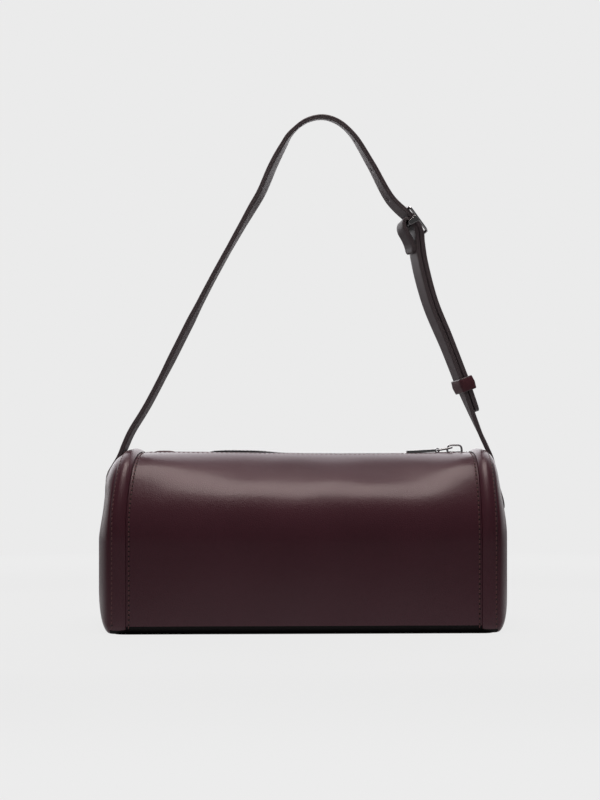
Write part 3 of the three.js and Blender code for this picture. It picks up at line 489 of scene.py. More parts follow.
def finish_node(name, finish):
    """A plain CAD solid that stays: its finish, and its edges eased."""
    node = frame["nodes"][name]
    node.data.materials.clear()
    node.data.materials.append(finish)
    soften(node, 0.4 * MM)


finish_node("base_board", fibre_board)

# Zip: two woven tapes sewn behind the edges of the mouth, a row of nickel teeth clamped on each, and a
# stop that closes the chain at the left. Beyond it a leather tab with rolled edges is sewn over the
# tapes' ends, and the pull lies in the hollow between the rolls when the zip is open.
TAPE_WIDTH = 11.9 * MM
TAPE_INNER = 1.9 * MM
TAPE_THICKNESS = 0.7 * MM
TOOTH_PITCH = 2.6 * MM
TOOTH_WIDTH = 1.25 * MM
TOOTH_REACH = 0.9 * MM
TEETH_HEIGHT = 3.0 * MM
TOOTH_ROOT = 2.3 * MM
TEETH_RISE = 0.7 * MM
CHAIN_CREST = -44 * MM
CHAIN_CREST_RISE = 1.4 * MM
CHAIN_CREST_WIDTH = 24 * MM
CHAIN_SETTLE = 10 * MM
tape_foot = BODY_HEIGHT - LEATHER - SEAM_GAP - TAPE_THICKNESS
teeth_middle = tape_foot + TAPE_THICKNESS / 2
teeth_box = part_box("front_zip_teeth")
slider_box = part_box("zip_slider")

tape_cloth = cloth("zip_tape", srgb(44, 20, 26), srgb(62, 30, 37), 2600.0, 0.1)


def metal(name, colour, gloss, scale=2600.0):
    """Plated metal: fine polishing lines in its gloss, and a slight change of tone."""
    made, tree, shader = surface(name, {"Metallic": 1.0})
    place = tree.nodes.new("ShaderNodeTexCoord").outputs["Object"]
    lines = noise(tree, place, scale, 3)
    darker = [0.86 * c for c in colour[:3]] + [1]
    blend_colours(tree, noise(tree, place, 90, 2), darker, colour, shader.inputs["Base Color"])
    spread(tree, lines, gloss[0], gloss[1], shader.inputs["Roughness"])
    relief(tree, lines, 0.01 * MM, 0.15, shader)
    return made


nickel = metal("bright_nickel", srgb(205, 204, 206), (0.06, 0.14))


def chain_rise(x):
    """How far the chain rises: not where the open slider sits, and beyond it as the leather does."""
    crest = CHAIN_CREST_RISE * np.exp(-(((x - CHAIN_CREST) / CHAIN_CREST_WIDTH) ** 4))
    return crest - droop(x) * ease(x, LENS_LEFT, LENS_LEFT + CHAIN_SETTLE)


tape_start = teeth_box[0].x - 9 * MM
tape_end = MOUTH_RIGHT + 5.5 * MM
tape_x = spaced(
    (tape_start, tape_start + 8 * MM, 8),
    (tape_start + 8 * MM, tape_end - 8 * MM, 84),
    (tape_end - 8 * MM, tape_end, 8),
)
X, V = np.meshgrid(tape_x, spaced((0, 1, 10)), indexing="ij")
# Beyond the teeth the two tapes come together.
to_end = np.minimum(X - tape_start, tape_end - X)
beyond = 1 - ease(to_end, 4.5 * MM, 6 * MM)
Y = TAPE_INNER - 1.6 * MM * beyond * (1 - V) + V * TAPE_WIDTH
under = half_depth * (1 - np.sqrt(1 - (Y / half_depth) ** 2))
for name, side in SIDES:
    up = tape_foot + TAPE_THICKNESS - under * ease(Y, 3 * MM, 9 * MM)
    up = up + chain_rise(X) * (1 - ease(Y, 3 * MM, 8 * MM)) - droop(X) * ease(Y, 3 * MM, 8 * MM)
    up = up - 0.4 * MM * ease(Y, 5 * MM, 7 * MM)
    grid = np.stack([X, side * Y, up], axis=-1)
    tape = piece(f"{name}_tape", [rows(grid, flip=side < 0)], tape_cloth)
    thicken(tape, TAPE_THICKNESS, 0.15 * MM)
    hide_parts(f"{name}_zip_tape")
    follow_mouth(tape)

section_quarter = np.array([[0.5, 0.38], [0.38, 0.5]])
TOOTH_SECTION = np.vstack([
    -section_quarter, section_quarter[::-1] * [1, -1], section_quarter, section_quarter[::-1] * [-1, 1]
])
# Across a tooth, from its clamp on the tape over the waist to the rounded head: place, width, height.
TOOTH_STATIONS = np.array([
    [0, 1, 0.7], [0.08, 1.1, 0.86], [0.5, 1.1, 0.92], [0.62, 0.82, 0.8], [0.72, 1, 1], [0.94, 0.95, 0.96],
    [1, 0.7, 0.7],
])
tooth_place, tooth_wide, tooth_tall = TOOTH_STATIONS.T[..., None] * np.ones(len(TOOTH_SECTION))
tooth_count = int((teeth_box[1].x - teeth_box[0].x - TOOTH_WIDTH) / TOOTH_PITCH)
for name, side, shift in (("front", -1, 0.0), ("back", 1, 0.5)):
    teeth = []
    across = side * (TOOTH_ROOT - (TOOTH_ROOT + TOOTH_REACH) * tooth_place)
    for k in range(tooth_count):
        x = teeth_box[0].x + TOOTH_WIDTH + (k + shift) * TOOTH_PITCH
        at_slider = ease(x, slider_box[0].x - 8 * MM, slider_box[0].x)
        free = ease(x, LENS_LEFT, LENS_LEFT + CHAIN_SETTLE) * (1 - at_slider)
        up = teeth_middle + TEETH_RISE * free + chain_rise(x)
        along = x + TOOTH_WIDTH * tooth_wide * TOOTH_SECTION[:, 0]
        height = up + TEETH_HEIGHT * tooth_tall * TOOTH_SECTION[:, 1]
        teeth.append(rows(np.stack([along, across, height], axis=-1), ring_v=True, caps=True, flip=side < 0))
    chain = piece(f"{name}_teeth", teeth, nickel)
    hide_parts(f"{name}_zip_teeth")
    follow_mouth(chain)

finish_node("zip_bottom_stop", nickel)

TAB_HALF = 6.6 * MM
TAB_DROP = 1 * MM
TAB_FALL = 0.9 * MM
TAB_RISE = 2.6 * MM
TAB_CREST = -98 * MM
TAB_CREST_WIDTH = 9.5 * MM
TAB_HOLLOW = 0.4
tab_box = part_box("zip_end_tab")
tab_x = spaced((tab_box[0].x, tab_box[1].x, 40))
X, V = np.meshgrid(tab_x, spaced((-1, 1, 40)), indexing="ij")
bump = np.exp(-(((X - TAB_CREST) / TAB_CREST_WIDTH) ** 4))
roll = np.sin(np.pi * np.clip((np.abs(V) - TAB_HOLLOW) / (1 - TAB_HOLLOW), 0, 1))
swell = TAB_RISE * bump * roll - TAB_FALL * V ** 2
end_curl = 1.2 * MM * ease(X, tab_box[1].x - 4 * MM, tab_box[1].x)
grid = np.stack([X, TAB_HALF * V, BODY_HEIGHT - TAB_DROP + swell - end_curl], axis=-1)
end_tab = piece("zip_end_cover", [rows(grid)], body_leather)
thicken(end_tab, LEATHER, 0.5 * MM)
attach(end_tab, "body")
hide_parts("zip_end_tab")

# Stitches: thick bonded thread in a long even stitch, along both edges of the zip, beside each
# band, round each end panel and on the sewn strap ends.
STITCH_PITCH = 3.4 * MM
STITCH_LENGTH = 2.5 * MM
STITCH_RADIUS = 0.42 * MM
STITCH_SLANT = 0.14
STITCH_DIVE = 0.24 * MM
STITCH_ENDS = np.array([-1.0, -0.85, -0.45, 0.45, 0.85, 1.0])
STITCH_GIRTH = np.array([0.25, 0.75, 1.0, 1.0, 0.75, 0.25])
STITCH_TURN = np.arange(7) * 2 * np.pi / 7
HOLE_RINGS = np.array([0.62, 0.3])[:, None, None] * MM
HOLE_LIFT = np.array([0.02, 0.1])[:, None, None] * MM
SLOT_STITCH = 2.6 * MM
SLOT_STITCH_END = 118 * MM


def make_thread():
    """Bonded thread: twisted plies, a little lighter than the leather."""
    made, tree, shader = surface("bonded_thread", {"IOR": 1.5})
    place = tree.nodes.new("ShaderNodeTexCoord").outputs["Object"]
    plies = tree.nodes.new("ShaderNodeTexWave")
    plies.inputs["Scale"].default_value = 420
    plies.bands_direction = "DIAGONAL"
    tree.links.new(place, plies.inputs["Vector"])
    tones = srgb(84, 44, 48), srgb(124, 80, 80)
    blend_colours(tree, plies.outputs["Fac"], *tones, shader.inputs["Base Color"])
    spread(tree, noise(tree, place, 900, 2), 0.4, 0.6, shader.inputs["Roughness"])
    relief(tree, plies.outputs["Fac"], 0.08 * MM, 0.6, shader)
    return made


thread = make_thread()
hole_shade = leather("stitch_hole_shade", srgb(20, 9, 11), srgb(28, 13, 15), (0.6, 0.8))


def unit(vectors):
    return vectors / np.linalg.norm(vectors, axis=-1, keepdims=True)


def stitch_row(line, out, sunk=0.0):
    """Stitches, and dark discs of painted shade for the holes between them, along a line of points, on the
    surface that faces out.
    """
    run = np.concatenate([[0], np.cumsum(np.linalg.norm(np.diff(line, axis=0), axis=1))])
    count = max(1, int(round(run[-1] / STITCH_PITCH)))
    centres = (np.arange(count) + 0.5) * run[-1] / count

    def read(values, places):
        return np.stack([np.interp(places, run, values[:, k]) for k in range(3)], axis=-1)

    facing = unit(read(out, centres))
    along = unit(read(line, centres + 0.5 * MM) - read(line, centres - 0.5 * MM))
    along = unit(along + STITCH_SLANT * unit(np.cross(along, facing)))
    beside = np.cross(along, facing)
    around, over = np.cos(STITCH_TURN)[:, None], np.sin(STITCH_TURN)[:, None]
    ends = STITCH_ENDS[:, None]
    parts = []
    for centre, a, b, n in zip(read(line, centres), along, beside, facing):
        body = centre - n * (sunk + STITCH_DIVE * ends ** 4) + a * ends * STITCH_LENGTH / 2
        grid = body[:, None, :] + STITCH_GIRTH[:, None, None] * STITCH_RADIUS * (around * b + over * n)
        parts.append(rows(grid, ring_v=True, caps=True))
        # Each hole is a dark disc: painted shade in the stitch hole.
        hole = centre + a * STITCH_PITCH / 2 - n * sunk
        grid = hole + HOLE_RINGS * (around * b + over * a) + HOLE_LIFT * n
        parts.append(rows(grid, ring_v=True, caps=True, flip=True, tint=1))
    return parts


for name, side in SIDES:
    x = spaced((-SLOT_STITCH_END, SLOT_STITCH_END, 120))
    s = np.full_like(x, slot_edge - SLOT_STITCH)
    line = skin(side, s, x, panel_out(s, x) + 0.1 * MM)
    above = skin(side, s, x, panel_out(s, x) + 2 * MM)
    parts = stitch_row(line, unit(above - line), 0.3 * MM)
    sewn = piece(f"{name}_zip_stitches", parts, thread, hole_shade)
    follow_mouth(sewn)

# Slider and pull: a cast nickel slider whose arched bail holds a wire link, and a flat round-ended bar
# rolled round the link's far end. Both hang free and lie along the zip.
WIRE_TURN = np.arange(10) * 2 * np.pi / 10


def wire(path, up, radius, closed=False, flatten=1.0):
    """Round or flattened wire along a line; up is the way that its section faces."""
    path = np.asarray(path, float)
    ahead = np.roll(path, -1, axis=0) - np.roll(path, 1, axis=0)
    if not closed:
        ahead[0], ahead[-1] = path[1] - path[0], path[-1] - path[-2]
    ahead = unit(ahead)
    beside = unit(np.cross(np.asarray(up, float), ahead))
    over = np.cross(ahead, beside)
    ring = np.cos(WIRE_TURN)[:, None] * beside[:, None] + flatten * np.sin(WIRE_TURN)[:, None] * over[:, None]
    radii = np.broadcast_to(radius, len(path))[:, None, None]
    return rows(path[:, None] + radii * ring, ring_u=closed, ring_v=True, caps=not closed, flip=True)


def rounded_loop(corners, radius, steps=6):
    """A closed line through corner points, each corner turned with a radius."""
    corners = np.asarray(corners, float)
    points = []
    for before, corner, after in zip(np.roll(corners, 1, 0), corners, np.roll(corners, -1, 0)):
        way_in, way_out = unit(before - corner), unit(after - corner)
        for share in np.linspace(0, 1, steps):
            points.append(corner + radius * ((1 - share) ** 2 * way_in + share ** 2 * way_out))
    return np.array(points)


def rounded_rectangle(half_x, half_y, radius, steps=6):
    corners = [(sx * half_x, sy * half_y, 0) for sx, sy in ((-1, -1), (1, -1), (1, 1), (-1, 1))]
    return rounded_loop(corners, radius, steps)


def plate(edge, low, high):
    """A flat plate: its edge as [x, y] points, and its two heights."""
    edge = np.asarray(edge, float)
    grid = np.stack([np.column_stack([edge, np.full(len(edge), z)]) for z in (low, high)])
    return rows(grid, ring_v=True, caps=True, flip=True)


SLIDER_PLATE = 1.2 * MM
CHANNEL_HALF = 1.6 * MM
LIP_LENGTH = 8.8 * MM
LIP_WIDTH = 0.8075 * MM
LIP_INSET = 0.0425 * MM
BAIL_RADIUS = 0.8 * MM
POST_HALF = 1.3 * MM
slider_x = (slider_box[0].x + slider_box[1].x) / 2
slider_half = (slider_box[1].x - slider_box[0].x) / 2
slider_wide = slider_box[1].y
plate_top = teeth_middle + CHANNEL_HALF + SEAM_GAP + SLIDER_PLATE
lower_top = teeth_middle - CHANNEL_HALF - SEAM_GAP
# One side of the slider's outline, from its right end to its left.
SLIDER_SIDE = np.array([[1, 0.5], [0.72, 0.86], [0.2, 1], [-0.55, 1], [-1, 0.62]])


def slider_edge(scale):
    nose = np.vstack([SLIDER_SIDE[::-1] * [1, -1], SLIDER_SIDE]) * [slider_half, slider_wide]
    loop = rounded_loop(np.column_stack([nose, np.zeros(len(nose))]), 1.1 * MM, 4)
    return loop[:, :2] * scale + [slider_x, 0]


bail_top = slider_box[1].z - BAIL_RADIUS
bail_foot = plate_top - 0.4 * MM
# Half of the bail's arch, from its foot: out from the slider's middle, and share of its height.
BAIL_HALF = np.array([[5.2, 0], [5.2, 0.35], [4.9, 0.7], [4.0, 0.93], [2.2, 1]])
arch = np.vstack([BAIL_HALF * [-1, 1], BAIL_HALF[::-1]])
bail_line = [(slider_x + x * MM, 0, bail_foot + share * (bail_top - bail_foot)) for x, share in arch]
post_edge = rounded_rectangle(MM, POST_HALF, 0.5 * MM, 3)[:, :2] + [slider_x + slider_half - POST_HALF, 0]
slider_parts = [
    plate(slider_edge(1), plate_top - SLIDER_PLATE, plate_top),
    plate(slider_edge(0.94), lower_top - SLIDER_PLATE, lower_top),
    plate(post_edge, lower_top, plate_top - SLIDER_PLATE),
    wire(bail_line, (0, 1, 0), BAIL_RADIUS, flatten=1.5),
]
for side in (-1, 1):
    lip_at = [slider_x, side * (slider_wide - LIP_INSET - LIP_WIDTH / 2)]
    lip = rounded_rectangle(LIP_LENGTH / 2, LIP_WIDTH / 2, 0.25 * MM, 3)[:, :2] + lip_at
    slider_parts.append(plate(lip, teeth_middle + 0.9 * MM, plate_top - SLIDER_PLATE / 2))
slider = piece("zip_slider_cast", slider_parts, nickel)
soften(slider, 0.3 * MM)
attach(slider, "slider")
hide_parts("zip_slider")

LINK_WIRE = 0.7 * MM
LINK_HALF = 2.7 * MM
PULL_LENGTH = 22.5 * MM
PULL_HALF = 2.6 * MM
PULL_THICKNESS = 1.9 * MM
PULL_DIP = 0.05
pin = Vector(joints["link_hinge"]["pos_m"])
far = Vector(joints["pull_hinge"]["pos_m"])
link_corners = [(end.x, y, end.z) for end, y in (
    (pin, -LINK_HALF), (pin, LINK_HALF), (far, LINK_HALF), (far, -LINK_HALF)
)]
link_up = (pin - far).cross(Vector((0, 1, 0)))
link_wire = wire(rounded_loop(link_corners, 1.3 * MM), link_up, LINK_WIRE, closed=True)
link = piece("pull_wire_link", [link_wire], nickel)
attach(link, "link")
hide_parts("pull_link")

EYE_BORE = 1.0 * MM
EYE_OUTER = 1.8 * MM
EYE_HALF = 1.7 * MM


def sleeve(bore, outer, half, eased, steps):
    """A short tube round the y axis; eased is how far its rims are cut, inwards and along."""
    turn = np.arange(steps) * 2 * np.pi / steps
    edge = [(bore, half), (outer - eased[0], half), (outer, half - eased[1])]
    section = np.array([(r, -y) for r, y in edge] + edge[::-1])
    return np.stack([
        np.cos(turn)[:, None] * section[:, 0],
        np.broadcast_to(section[:, 1], (steps, len(section))),
        np.sin(turn)[:, None] * section[:, 0],
    ], axis=-1)


eye = sleeve(EYE_BORE, EYE_OUTER, EYE_HALF, (0.3 * MM, 0.3 * MM), 24) + [far.x, 0, far.z]
tip = np.linspace(math.pi / 2, 3 * math.pi / 2, 18)
tip_x = far.x - PULL_LENGTH + PULL_HALF
neck = [(far.x - 5.2 * MM, PULL_HALF), (far.x - 3.4 * MM, 2.2 * MM), (far.x - 1.4 * MM, EYE_HALF)]
bar_edge = [(tip_x + PULL_HALF * math.cos(a), PULL_HALF * math.sin(a)) for a in tip]
bar_edge += [(x, -y) for x, y in neck] + neck[::-1]
bar, bar_faces, bar_tints = plate(bar_edge, far.z - PULL_THICKNESS / 2, far.z + PULL_THICKNESS / 2)
bar[:, 2] -= PULL_DIP * (far.x - bar[:, 0])
pull = piece("pull_flat_bar", [rows(eye, ring_u=True, ring_v=True), (bar, bar_faces, bar_tints)], nickel)
soften(pull, 0.5 * MM, 3)
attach(pull, "pull")
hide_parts("pull_bar")

# Base: one piece of thin black leather under the bag, sewn along its long sides to the turned-under
# panels, with its edge standing a little proud all round the foot. That proud edge is painted shade: a
# black strip on the floor for the contact shadow at the foot.
BASE_SHEET = 0.2 * MM
PROUD_SHADE_MARGIN = 1.5 * MM
BASE_INSET = 3 * MM
# The margin beyond the foot is painted shade, a dark strip for the contact shadow.
base_edge = rounded_rectangle(half_length - BASE_INSET, half_depth + PROUD_SHADE_MARGIN, 9 * MM)[:, :2]
base = piece("base_sheet", [plate(base_edge, 0, BASE_SHEET)], black_base_and_foot_shade)
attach(base, "body")
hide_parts("base_panel")

# Ends: a filled leather band sewn round each end of the body, and a panel that closes it, domed where
# the leather is drawn in over the seam and pulled at the top by the strap.
BAND_CROWN = 2.3 * MM
END_BULGE = 9.2 * MM
STRAP_VALLEY = 2.6 * MM
VALLEY_WIDTH = 13 * MM
EDGE_STITCH = 1.5 * MM
SEAM_STITCH = 1.7 * MM
STITCH_FOOT = corner_end - 3 * MM
BLACK_SHADED_FOOT = 2.6 * MM
END_ROUNDNESS = 4
END_RIM = 0.25 * MM


def half_run(u):
    """Round the body, u runs from the middle of the base up the front, over the top and back."""
    return np.where(u <= crest_end, u, 2 * crest_end - u)


def ring_point(u, x, out):
    return skin(np.where(u <= crest_end, -1, 1), half_run(u), x, out)


def risen(z):
    """How far round the top curve a height is."""
    return np.arcsin(np.clip((z - arc_centre) / half_depth, 0, 1))


def end_swell(hand, y, z, reach):
    """How far an end panel stands out: the strap draws it in, and lies in a shallow valley of it."""
    if hand < 0:
        drawn = 2.6 * MM * ease(z, 62 * MM, 86 * MM) - 2 * MM * ease(z, 92 * MM, 106 * MM)
        valley = ease(z, 74 * MM, 86 * MM)
    else:
        drawn = 3.4 * MM * ease(z, 66 * MM, 108 * MM) - 0.5 * MM
        valley = ease(z, 86 * MM, 108 * MM)
    drawn = drawn + STRAP_VALLEY * valley * np.exp(-((y / VALLEY_WIDTH) ** 4))
    swell = (END_BULGE - drawn) * np.sqrt(np.maximum(1 - reach ** END_ROUNDNESS, 0))
    return hand * (swell - 0.8 * MM * reach ** 4)


def dome(hand, u, reach):
    """An end panel: reach goes from 0 in its middle to 1 at its rim."""
    s = half_run(u)
    y, z, facing = outline(s)
    rim = END_RIM + shoulder(s)
    across = np.where(u <= crest_end, -1, 1) * (y + np.cos(facing) * rim) * reach
    up = arc_centre + (z + np.sin(facing) * rim - arc_centre) * reach
    out = leaned(hand * half_length, risen(up)) + end_swell(hand, across, up, reach)
    return np.stack([out, across, up], axis=-1)


ring_half = spaced(
    (0, flat_end, 12), (flat_end, corner_end, 10), (corner_end, wall_end, 12), (wall_end, crest_end, 30)
)
ring_u = np.concatenate([ring_half, (2 * crest_end - ring_half[1:-1])[::-1]])
# Across a band: over its crown, and back underneath.
top_t = np.linspace(0, 1, 15)
band_x = band_inner + BAND_WIDTH * np.concatenate([top_t, [0.85, 0.5, 0.15]])
band_out = np.concatenate([BAND_CROWN * (1 - (2 * top_t - 1) ** 2), np.full(3, -0.1 * MM)])
reaches = np.array([
    0.015, 0.1, 0.2, 0.3, 0.4, 0.5, 0.6, 0.68, 0.75, 0.8, 0.84, 0.87, 0.9, 0.92, 0.94, 0.955, 0.97, 0.98,
    0.988, 0.994, 1.0,
])
for name, hand in (("left", -1), ("right", 1)):
    U, column = np.meshgrid(ring_u, np.arange(len(band_x)), indexing="ij")
    s = half_run(U)
    grid = ring_point(U, hand * band_x[column], 0.1 * MM + band_out[column] * filled(s) + shoulder(s))
    grid[..., 2] = np.maximum(grid[..., 2], 0)
    # Below this height the band takes the black material: painted shade where the foot turns under.
    foot = (outline(s)[1] < BLACK_SHADED_FOOT).astype(int)
    band_mesh = rows(grid, ring_u=True, ring_v=True, flip=hand > 0, tint=foot)
    band = piece(f"{name}_band", [band_mesh], body_leather, black_base_and_foot_shade)
    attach(band, "body")
    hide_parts(f"{name}_end_band")

    U, R = np.meshgrid(ring_u, reaches, indexing="ij")
    points, faces, tints = rows(dome(hand, U, R), ring_u=True, flip=hand < 0)
    middle_ring = np.arange(len(ring_u)) * len(reaches)
    faces.append(middle_ring[::-hand].tolist())
    panel = piece(f"{name}_end_leather", [(points, faces, tints + [0])], body_leather)
    thicken(panel, LEATHER, 0.3 * MM)
    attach(panel, "body")
    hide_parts(f"{name}_end_panel")

    s = half_run(ring_u)
    sewn_up = s > STITCH_FOOT
    below_zip = sewn_up & (s < slot_edge)
    seam_x = hand * (band_inner - SEAM_STITCH)
    edge_x = hand * (band_end - EDGE_STITCH)
    on_panel = panel_out(s, seam_x) + 0.1 * MM
    on_band = filled(s) * BAND_CROWN * (1 - (1 - 2 * EDGE_STITCH / BAND_WIDTH) ** 2) + shoulder(s)
    parts = []
    for pick, x, off, over in (
        (below_zip & (ring_u <= crest_end), seam_x, on_panel, 1.9 * MM),
        (below_zip & (ring_u > crest_end), seam_x, on_panel, 1.9 * MM),
        (sewn_up, edge_x, on_band, 2 * MM),
    ):
        line = ring_point(ring_u[pick], x, off[pick])
        parts += stitch_row(line, unit(ring_point(ring_u[pick], x, off[pick] + over) - line))
    sewn = piece(f"{name}_end_stitches", parts, thread, hole_shade)
    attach(sewn, "body")

# Strap: two plies of leather with painted edges. The edges' light tone is partly painted light, and the
# inner ply is coloured lighter, partly painted sheen from the pale surroundings at grazing angles. The
# long part is sewn to the left end, runs over the top, through the buckle and down outside the short part,
# which is folded round the buckle's bar and sewn to the right end.
STRAP_WIDTH = 18 * MM
STRAP_THICKNESS = 3.2 * MM
FOLD_THICKNESS = 2 * MM
STRAP_GAP = 0.4 * MM
SEWN_THICKNESS = 2 * MM
ANCHOR_FOOT = 83 * MM
LEAVE_Z = BODY_HEIGHT - 2.5 * MM
LEFT_START = -122.06 * MM
RIGHT_START = 128.7 * MM
LEFT_SLOPE = 0.45
RIGHT_SLOPE = 0.445
TAIL_LENGTH = 143.5 * MM
SHORT_LEAD = 5 * MM
FOLD_LENGTH = 21 * MM
LOOP_FILL = 1.2 * MM
HOLE_RADIUS = 1.6 * MM
HOLE_PITCH = 24 * MM
PRONG_HOLE = 2.4 * MM
PRONG_STRETCH = 2.0
TIP_RADIUS = 4.5 * MM
LEFT_LEG = MM * np.array([
    [12.4, 20.7], [58.7, 111.2], [85.2, 158.6], [93, 172], [102.2, 193], [109, 206], [114.1, 214.6],
    [124.6, 223.7],
])
APEX = np.array([11.5, 226.8]) * MM
RIGHT_LEG = np.array([[-102.7, 223.6], [-92.3, 214.6], [-78.8, 193], [-64.4, 167.4]]) * MM
BUCKLE_PLACE = np.array([-48.9, 152]) * MM
BUCKLE_TILT = math.radians(36)
SHORT_LEG = np.array([[-46.6, 128.4], [-38, 94], [-23.8, 59.5], [-10.4, 25], [0, 0]]) * MM
BAR_RADIUS = 1.1 * MM

strap_leather = leather("strap_leather", srgb(60, 43, 48), srgb(74, 54, 60), (0.44, 0.56), 1100.0, 0.05, 0.1)
# Lighter inner ply: its light tone is partly painted sheen, the pale surroundings seen at grazing angles.
strap_lining_painted_sheen = leather("strap_lining_painted_sheen", srgb(104, 91, 95), srgb(112, 99, 103), (0.4, 0.48), 1100.0, 0.0, 0.02)
# Edge paint coloured lighter than it is: partly painted light on the strap and keeper edges, which face the
# camera and get little lamp light.
edge_paint_and_painted_light = leather("edge_paint_and_painted_light", srgb(86, 75, 78), srgb(100, 88, 91), (0.32, 0.44), 500.0, 0.2, 0.12)
swing_z = joints["strap_swing"]["pos_m"][2]


def skived(hand, z):
    """The strap's thickness: its left end is pared down where it is sewn on."""
    sewn = SEWN_THICKNESS if hand < 0 else STRAP_THICKNESS
    return sewn + (STRAP_THICKNESS - sewn) * ease(z, ANCHOR_FOOT, LEAVE_Z)


def sewn_end(hand, start, slope):
    """The middle of a strap's end, from its foot on the end panel to where it leaves the bag."""
    z = np.linspace(ANCHOR_FOOT, LEAVE_Z - 12 * MM, 5)
    reach = (z - arc_centre) / (half_depth + END_RIM)
    off = skived(hand, z) / 2 + 0.1 * MM
    x = leaned(hand * half_length, risen(z)) + end_swell(hand, 0, z, reach) + hand * off
    return [*np.column_stack([x, z]), np.array([start + hand * slope * (swing_z - LEAVE_Z), LEAVE_Z])]


left_root = np.array([LEFT_START, swing_z])
right_root = np.array([RIGHT_START, swing_z])
left_laid = sewn_end(-1, LEFT_START, LEFT_SLOPE)
right_laid = sewn_end(1, RIGHT_START, RIGHT_SLOPE)
buckle_at = right_root + BUCKLE_PLACE
buckle_along = np.array([math.sin(BUCKLE_TILT), -math.cos(BUCKLE_TILT)])
buckle_out = np.array([math.cos(BUCKLE_TILT), math.sin(BUCKLE_TILT)])
fold_radius = BAR_RADIUS + SEAM_GAP + FOLD_THICKNESS / 2
short_drop = STRAP_THICKNESS / 2 + STRAP_GAP + FOLD_THICKNESS / 2
bar_drop = short_drop + fold_radius


def smooth_line(points, step):
    """An even run of points on a smooth line through the given ones."""
    points = np.array(points)
    ends = np.vstack([2 * points[0] - points[1], points, 2 * points[-1] - points[-2]])
    fine = []
    for a, b, c, d in zip(ends, ends[1:], ends[2:], ends[3:]):
        t0 = 0
        t1 = t0 + math.sqrt(np.linalg.norm(b - a))
        t2 = t1 + math.sqrt(np.linalg.norm(c - b))
        t3 = t2 + math.sqrt(np.linalg.norm(d - c))
        t = np.linspace(t1, t2, 60, endpoint=False)[:, None]
        ab = ((t1 - t) * a + (t - t0) * b) / (t1 - t0)
        bc = ((t2 - t) * b + (t - t1) * c) / (t2 - t1)
        cd = ((t3 - t) * c + (t - t2) * d) / (t3 - t2)
        abc = ((t2 - t) * ab + (t - t0) * bc) / (t2 - t0)
        bcd = ((t3 - t) * bc + (t - t1) * cd) / (t3 - t1)
        fine.append(((t2 - t) * abc + (t - t1) * bcd) / (t2 - t1))
    fine = np.vstack([*fine, points[-1:]])
    run = np.concatenate([[0], np.cumsum(np.linalg.norm(np.diff(fine, axis=0), axis=1))])
    even = np.linspace(0, run[-1], int(run[-1] / step) + 1)
    return np.column_stack([np.interp(even, run, fine[:, k]) for k in (0, 1)]), even


def directions(line):
    ahead = unit(np.gradient(line, axis=0))
    return ahead, np.column_stack([-ahead[:, 1], ahead[:, 0]])


def strap_twist(line):
    """Degrees that the strap turns its inner face to the front, at places along it."""
    left = np.interp(
        line[:, 1],
        [0.112, 0.127, 0.178, 0.19, 0.218, 0.229, 0.245, 0.27, 0.287, 0.3, 0.322, 0.335, 0.348, 0.356, 0.365],
        [0, 7, 7, 9.5, 9.5, 6, 5, 4.5, 7, 11, 14, 12, 6.5, -2, -4],
    )
    right = np.interp(
        line[:, 1],
        [0.112, 0.127, 0.137, 0.151, 0.176, 0.21, 0.25, 0.296, 0.315, 0.345, 0.352, 0.365],
        [0, -7, -6, 0, 10, 12, 14, 12, 8, 1, -2, -4],
    )
    share = ease(line[:, 0], LEFT_START / 2, buckle_at[0])
    return np.radians(left * (1 - share) + right * share)


# One ply's edge, from its face to the glued joint: millimetres in from the side, share of thickness.
PLY_EDGE = ((0.9, 1), (0.4, 0.93), (0.08, 0.68), (0, 0.42), (0.1, 0.16), (0.3, 0))


def strap_section(width, thickness):
    """Across and out of the strap: two rounded plies with a groove between them at each edge."""
    w, t = width / 2, thickness / 2
    ply = [(w - inset * MM, share * t) for inset, share in PLY_EDGE]
    edge = ply + [(x, -y) for x, y in ply[-2::-1]]
    face = [(w * share, -t) for share in (0.6, 0.2, -0.2, -0.6)]
    right = np.array(edge + face)
    return np.vstack([right, -right])


# Round a section: painted edge (partly painted light), lining (partly painted sheen), painted edge, face.
SECTION_EDGE = 10
SECTION_TINT = np.array([2] * SECTION_EDGE + [1] * 5 + [2] * SECTION_EDGE + [0] * 5)


def upright(line):
    """Points or directions of the strap's own plane, in space."""
    return np.column_stack([line[:, 0], np.zeros(len(line)), line[:, 1]])


def strap_part(centre, out, lean, thickness, width):
    """A strap along its stations: centre, the way its face looks, its tilt axis, and its sizes."""
    twist = strap_twist(centre)[:, None]
    across = -np.cos(twist) * [[0, 1, 0]] + np.sin(twist) * upright(lean)
    facing = upright(out)
    facing = unit(facing - across * np.sum(facing * across, axis=1, keepdims=True))
    sections = np.array([strap_section(w, t) for w, t in zip(width, thickness)])
    grid = sections[..., :1] * across[:, None] + sections[..., 1:] * facing[:, None]
    grid = upright(centre)[:, None] + grid
    return rows(grid, ring_v=True, caps=True, tint=SECTION_TINT[None]), across, facing


def rounded_end(from_end):
    """The strap's width near a squared end with rounded corners."""
    inside = np.clip(TIP_RADIUS - from_end, 0, TIP_RADIUS)
    return STRAP_WIDTH - 2 * TIP_RADIUS + 2 * np.sqrt(TIP_RADIUS ** 2 - inside ** 2)


def punch(strap, tools):
    """Cuts closed tools out of a strap, as a punch does."""
    die = piece("punch", tools, edge_paint_and_painted_light)
    cutter = strap.modifiers.new("punched", "BOOLEAN")
    cutter.operation = "DIFFERENCE"
    cutter.solver = "EXACT"
    cutter.object = die
    done = bpy.data.meshes.new_from_object(strap.evaluated_get(bpy.context.evaluated_depsgraph_get()))
    strap.modifiers.clear()
    strap.data = done
    bpy.data.objects.remove(die)


def sew_strap(strap):
    """Bakes the strap's placement into its points."""
    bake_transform(strap)


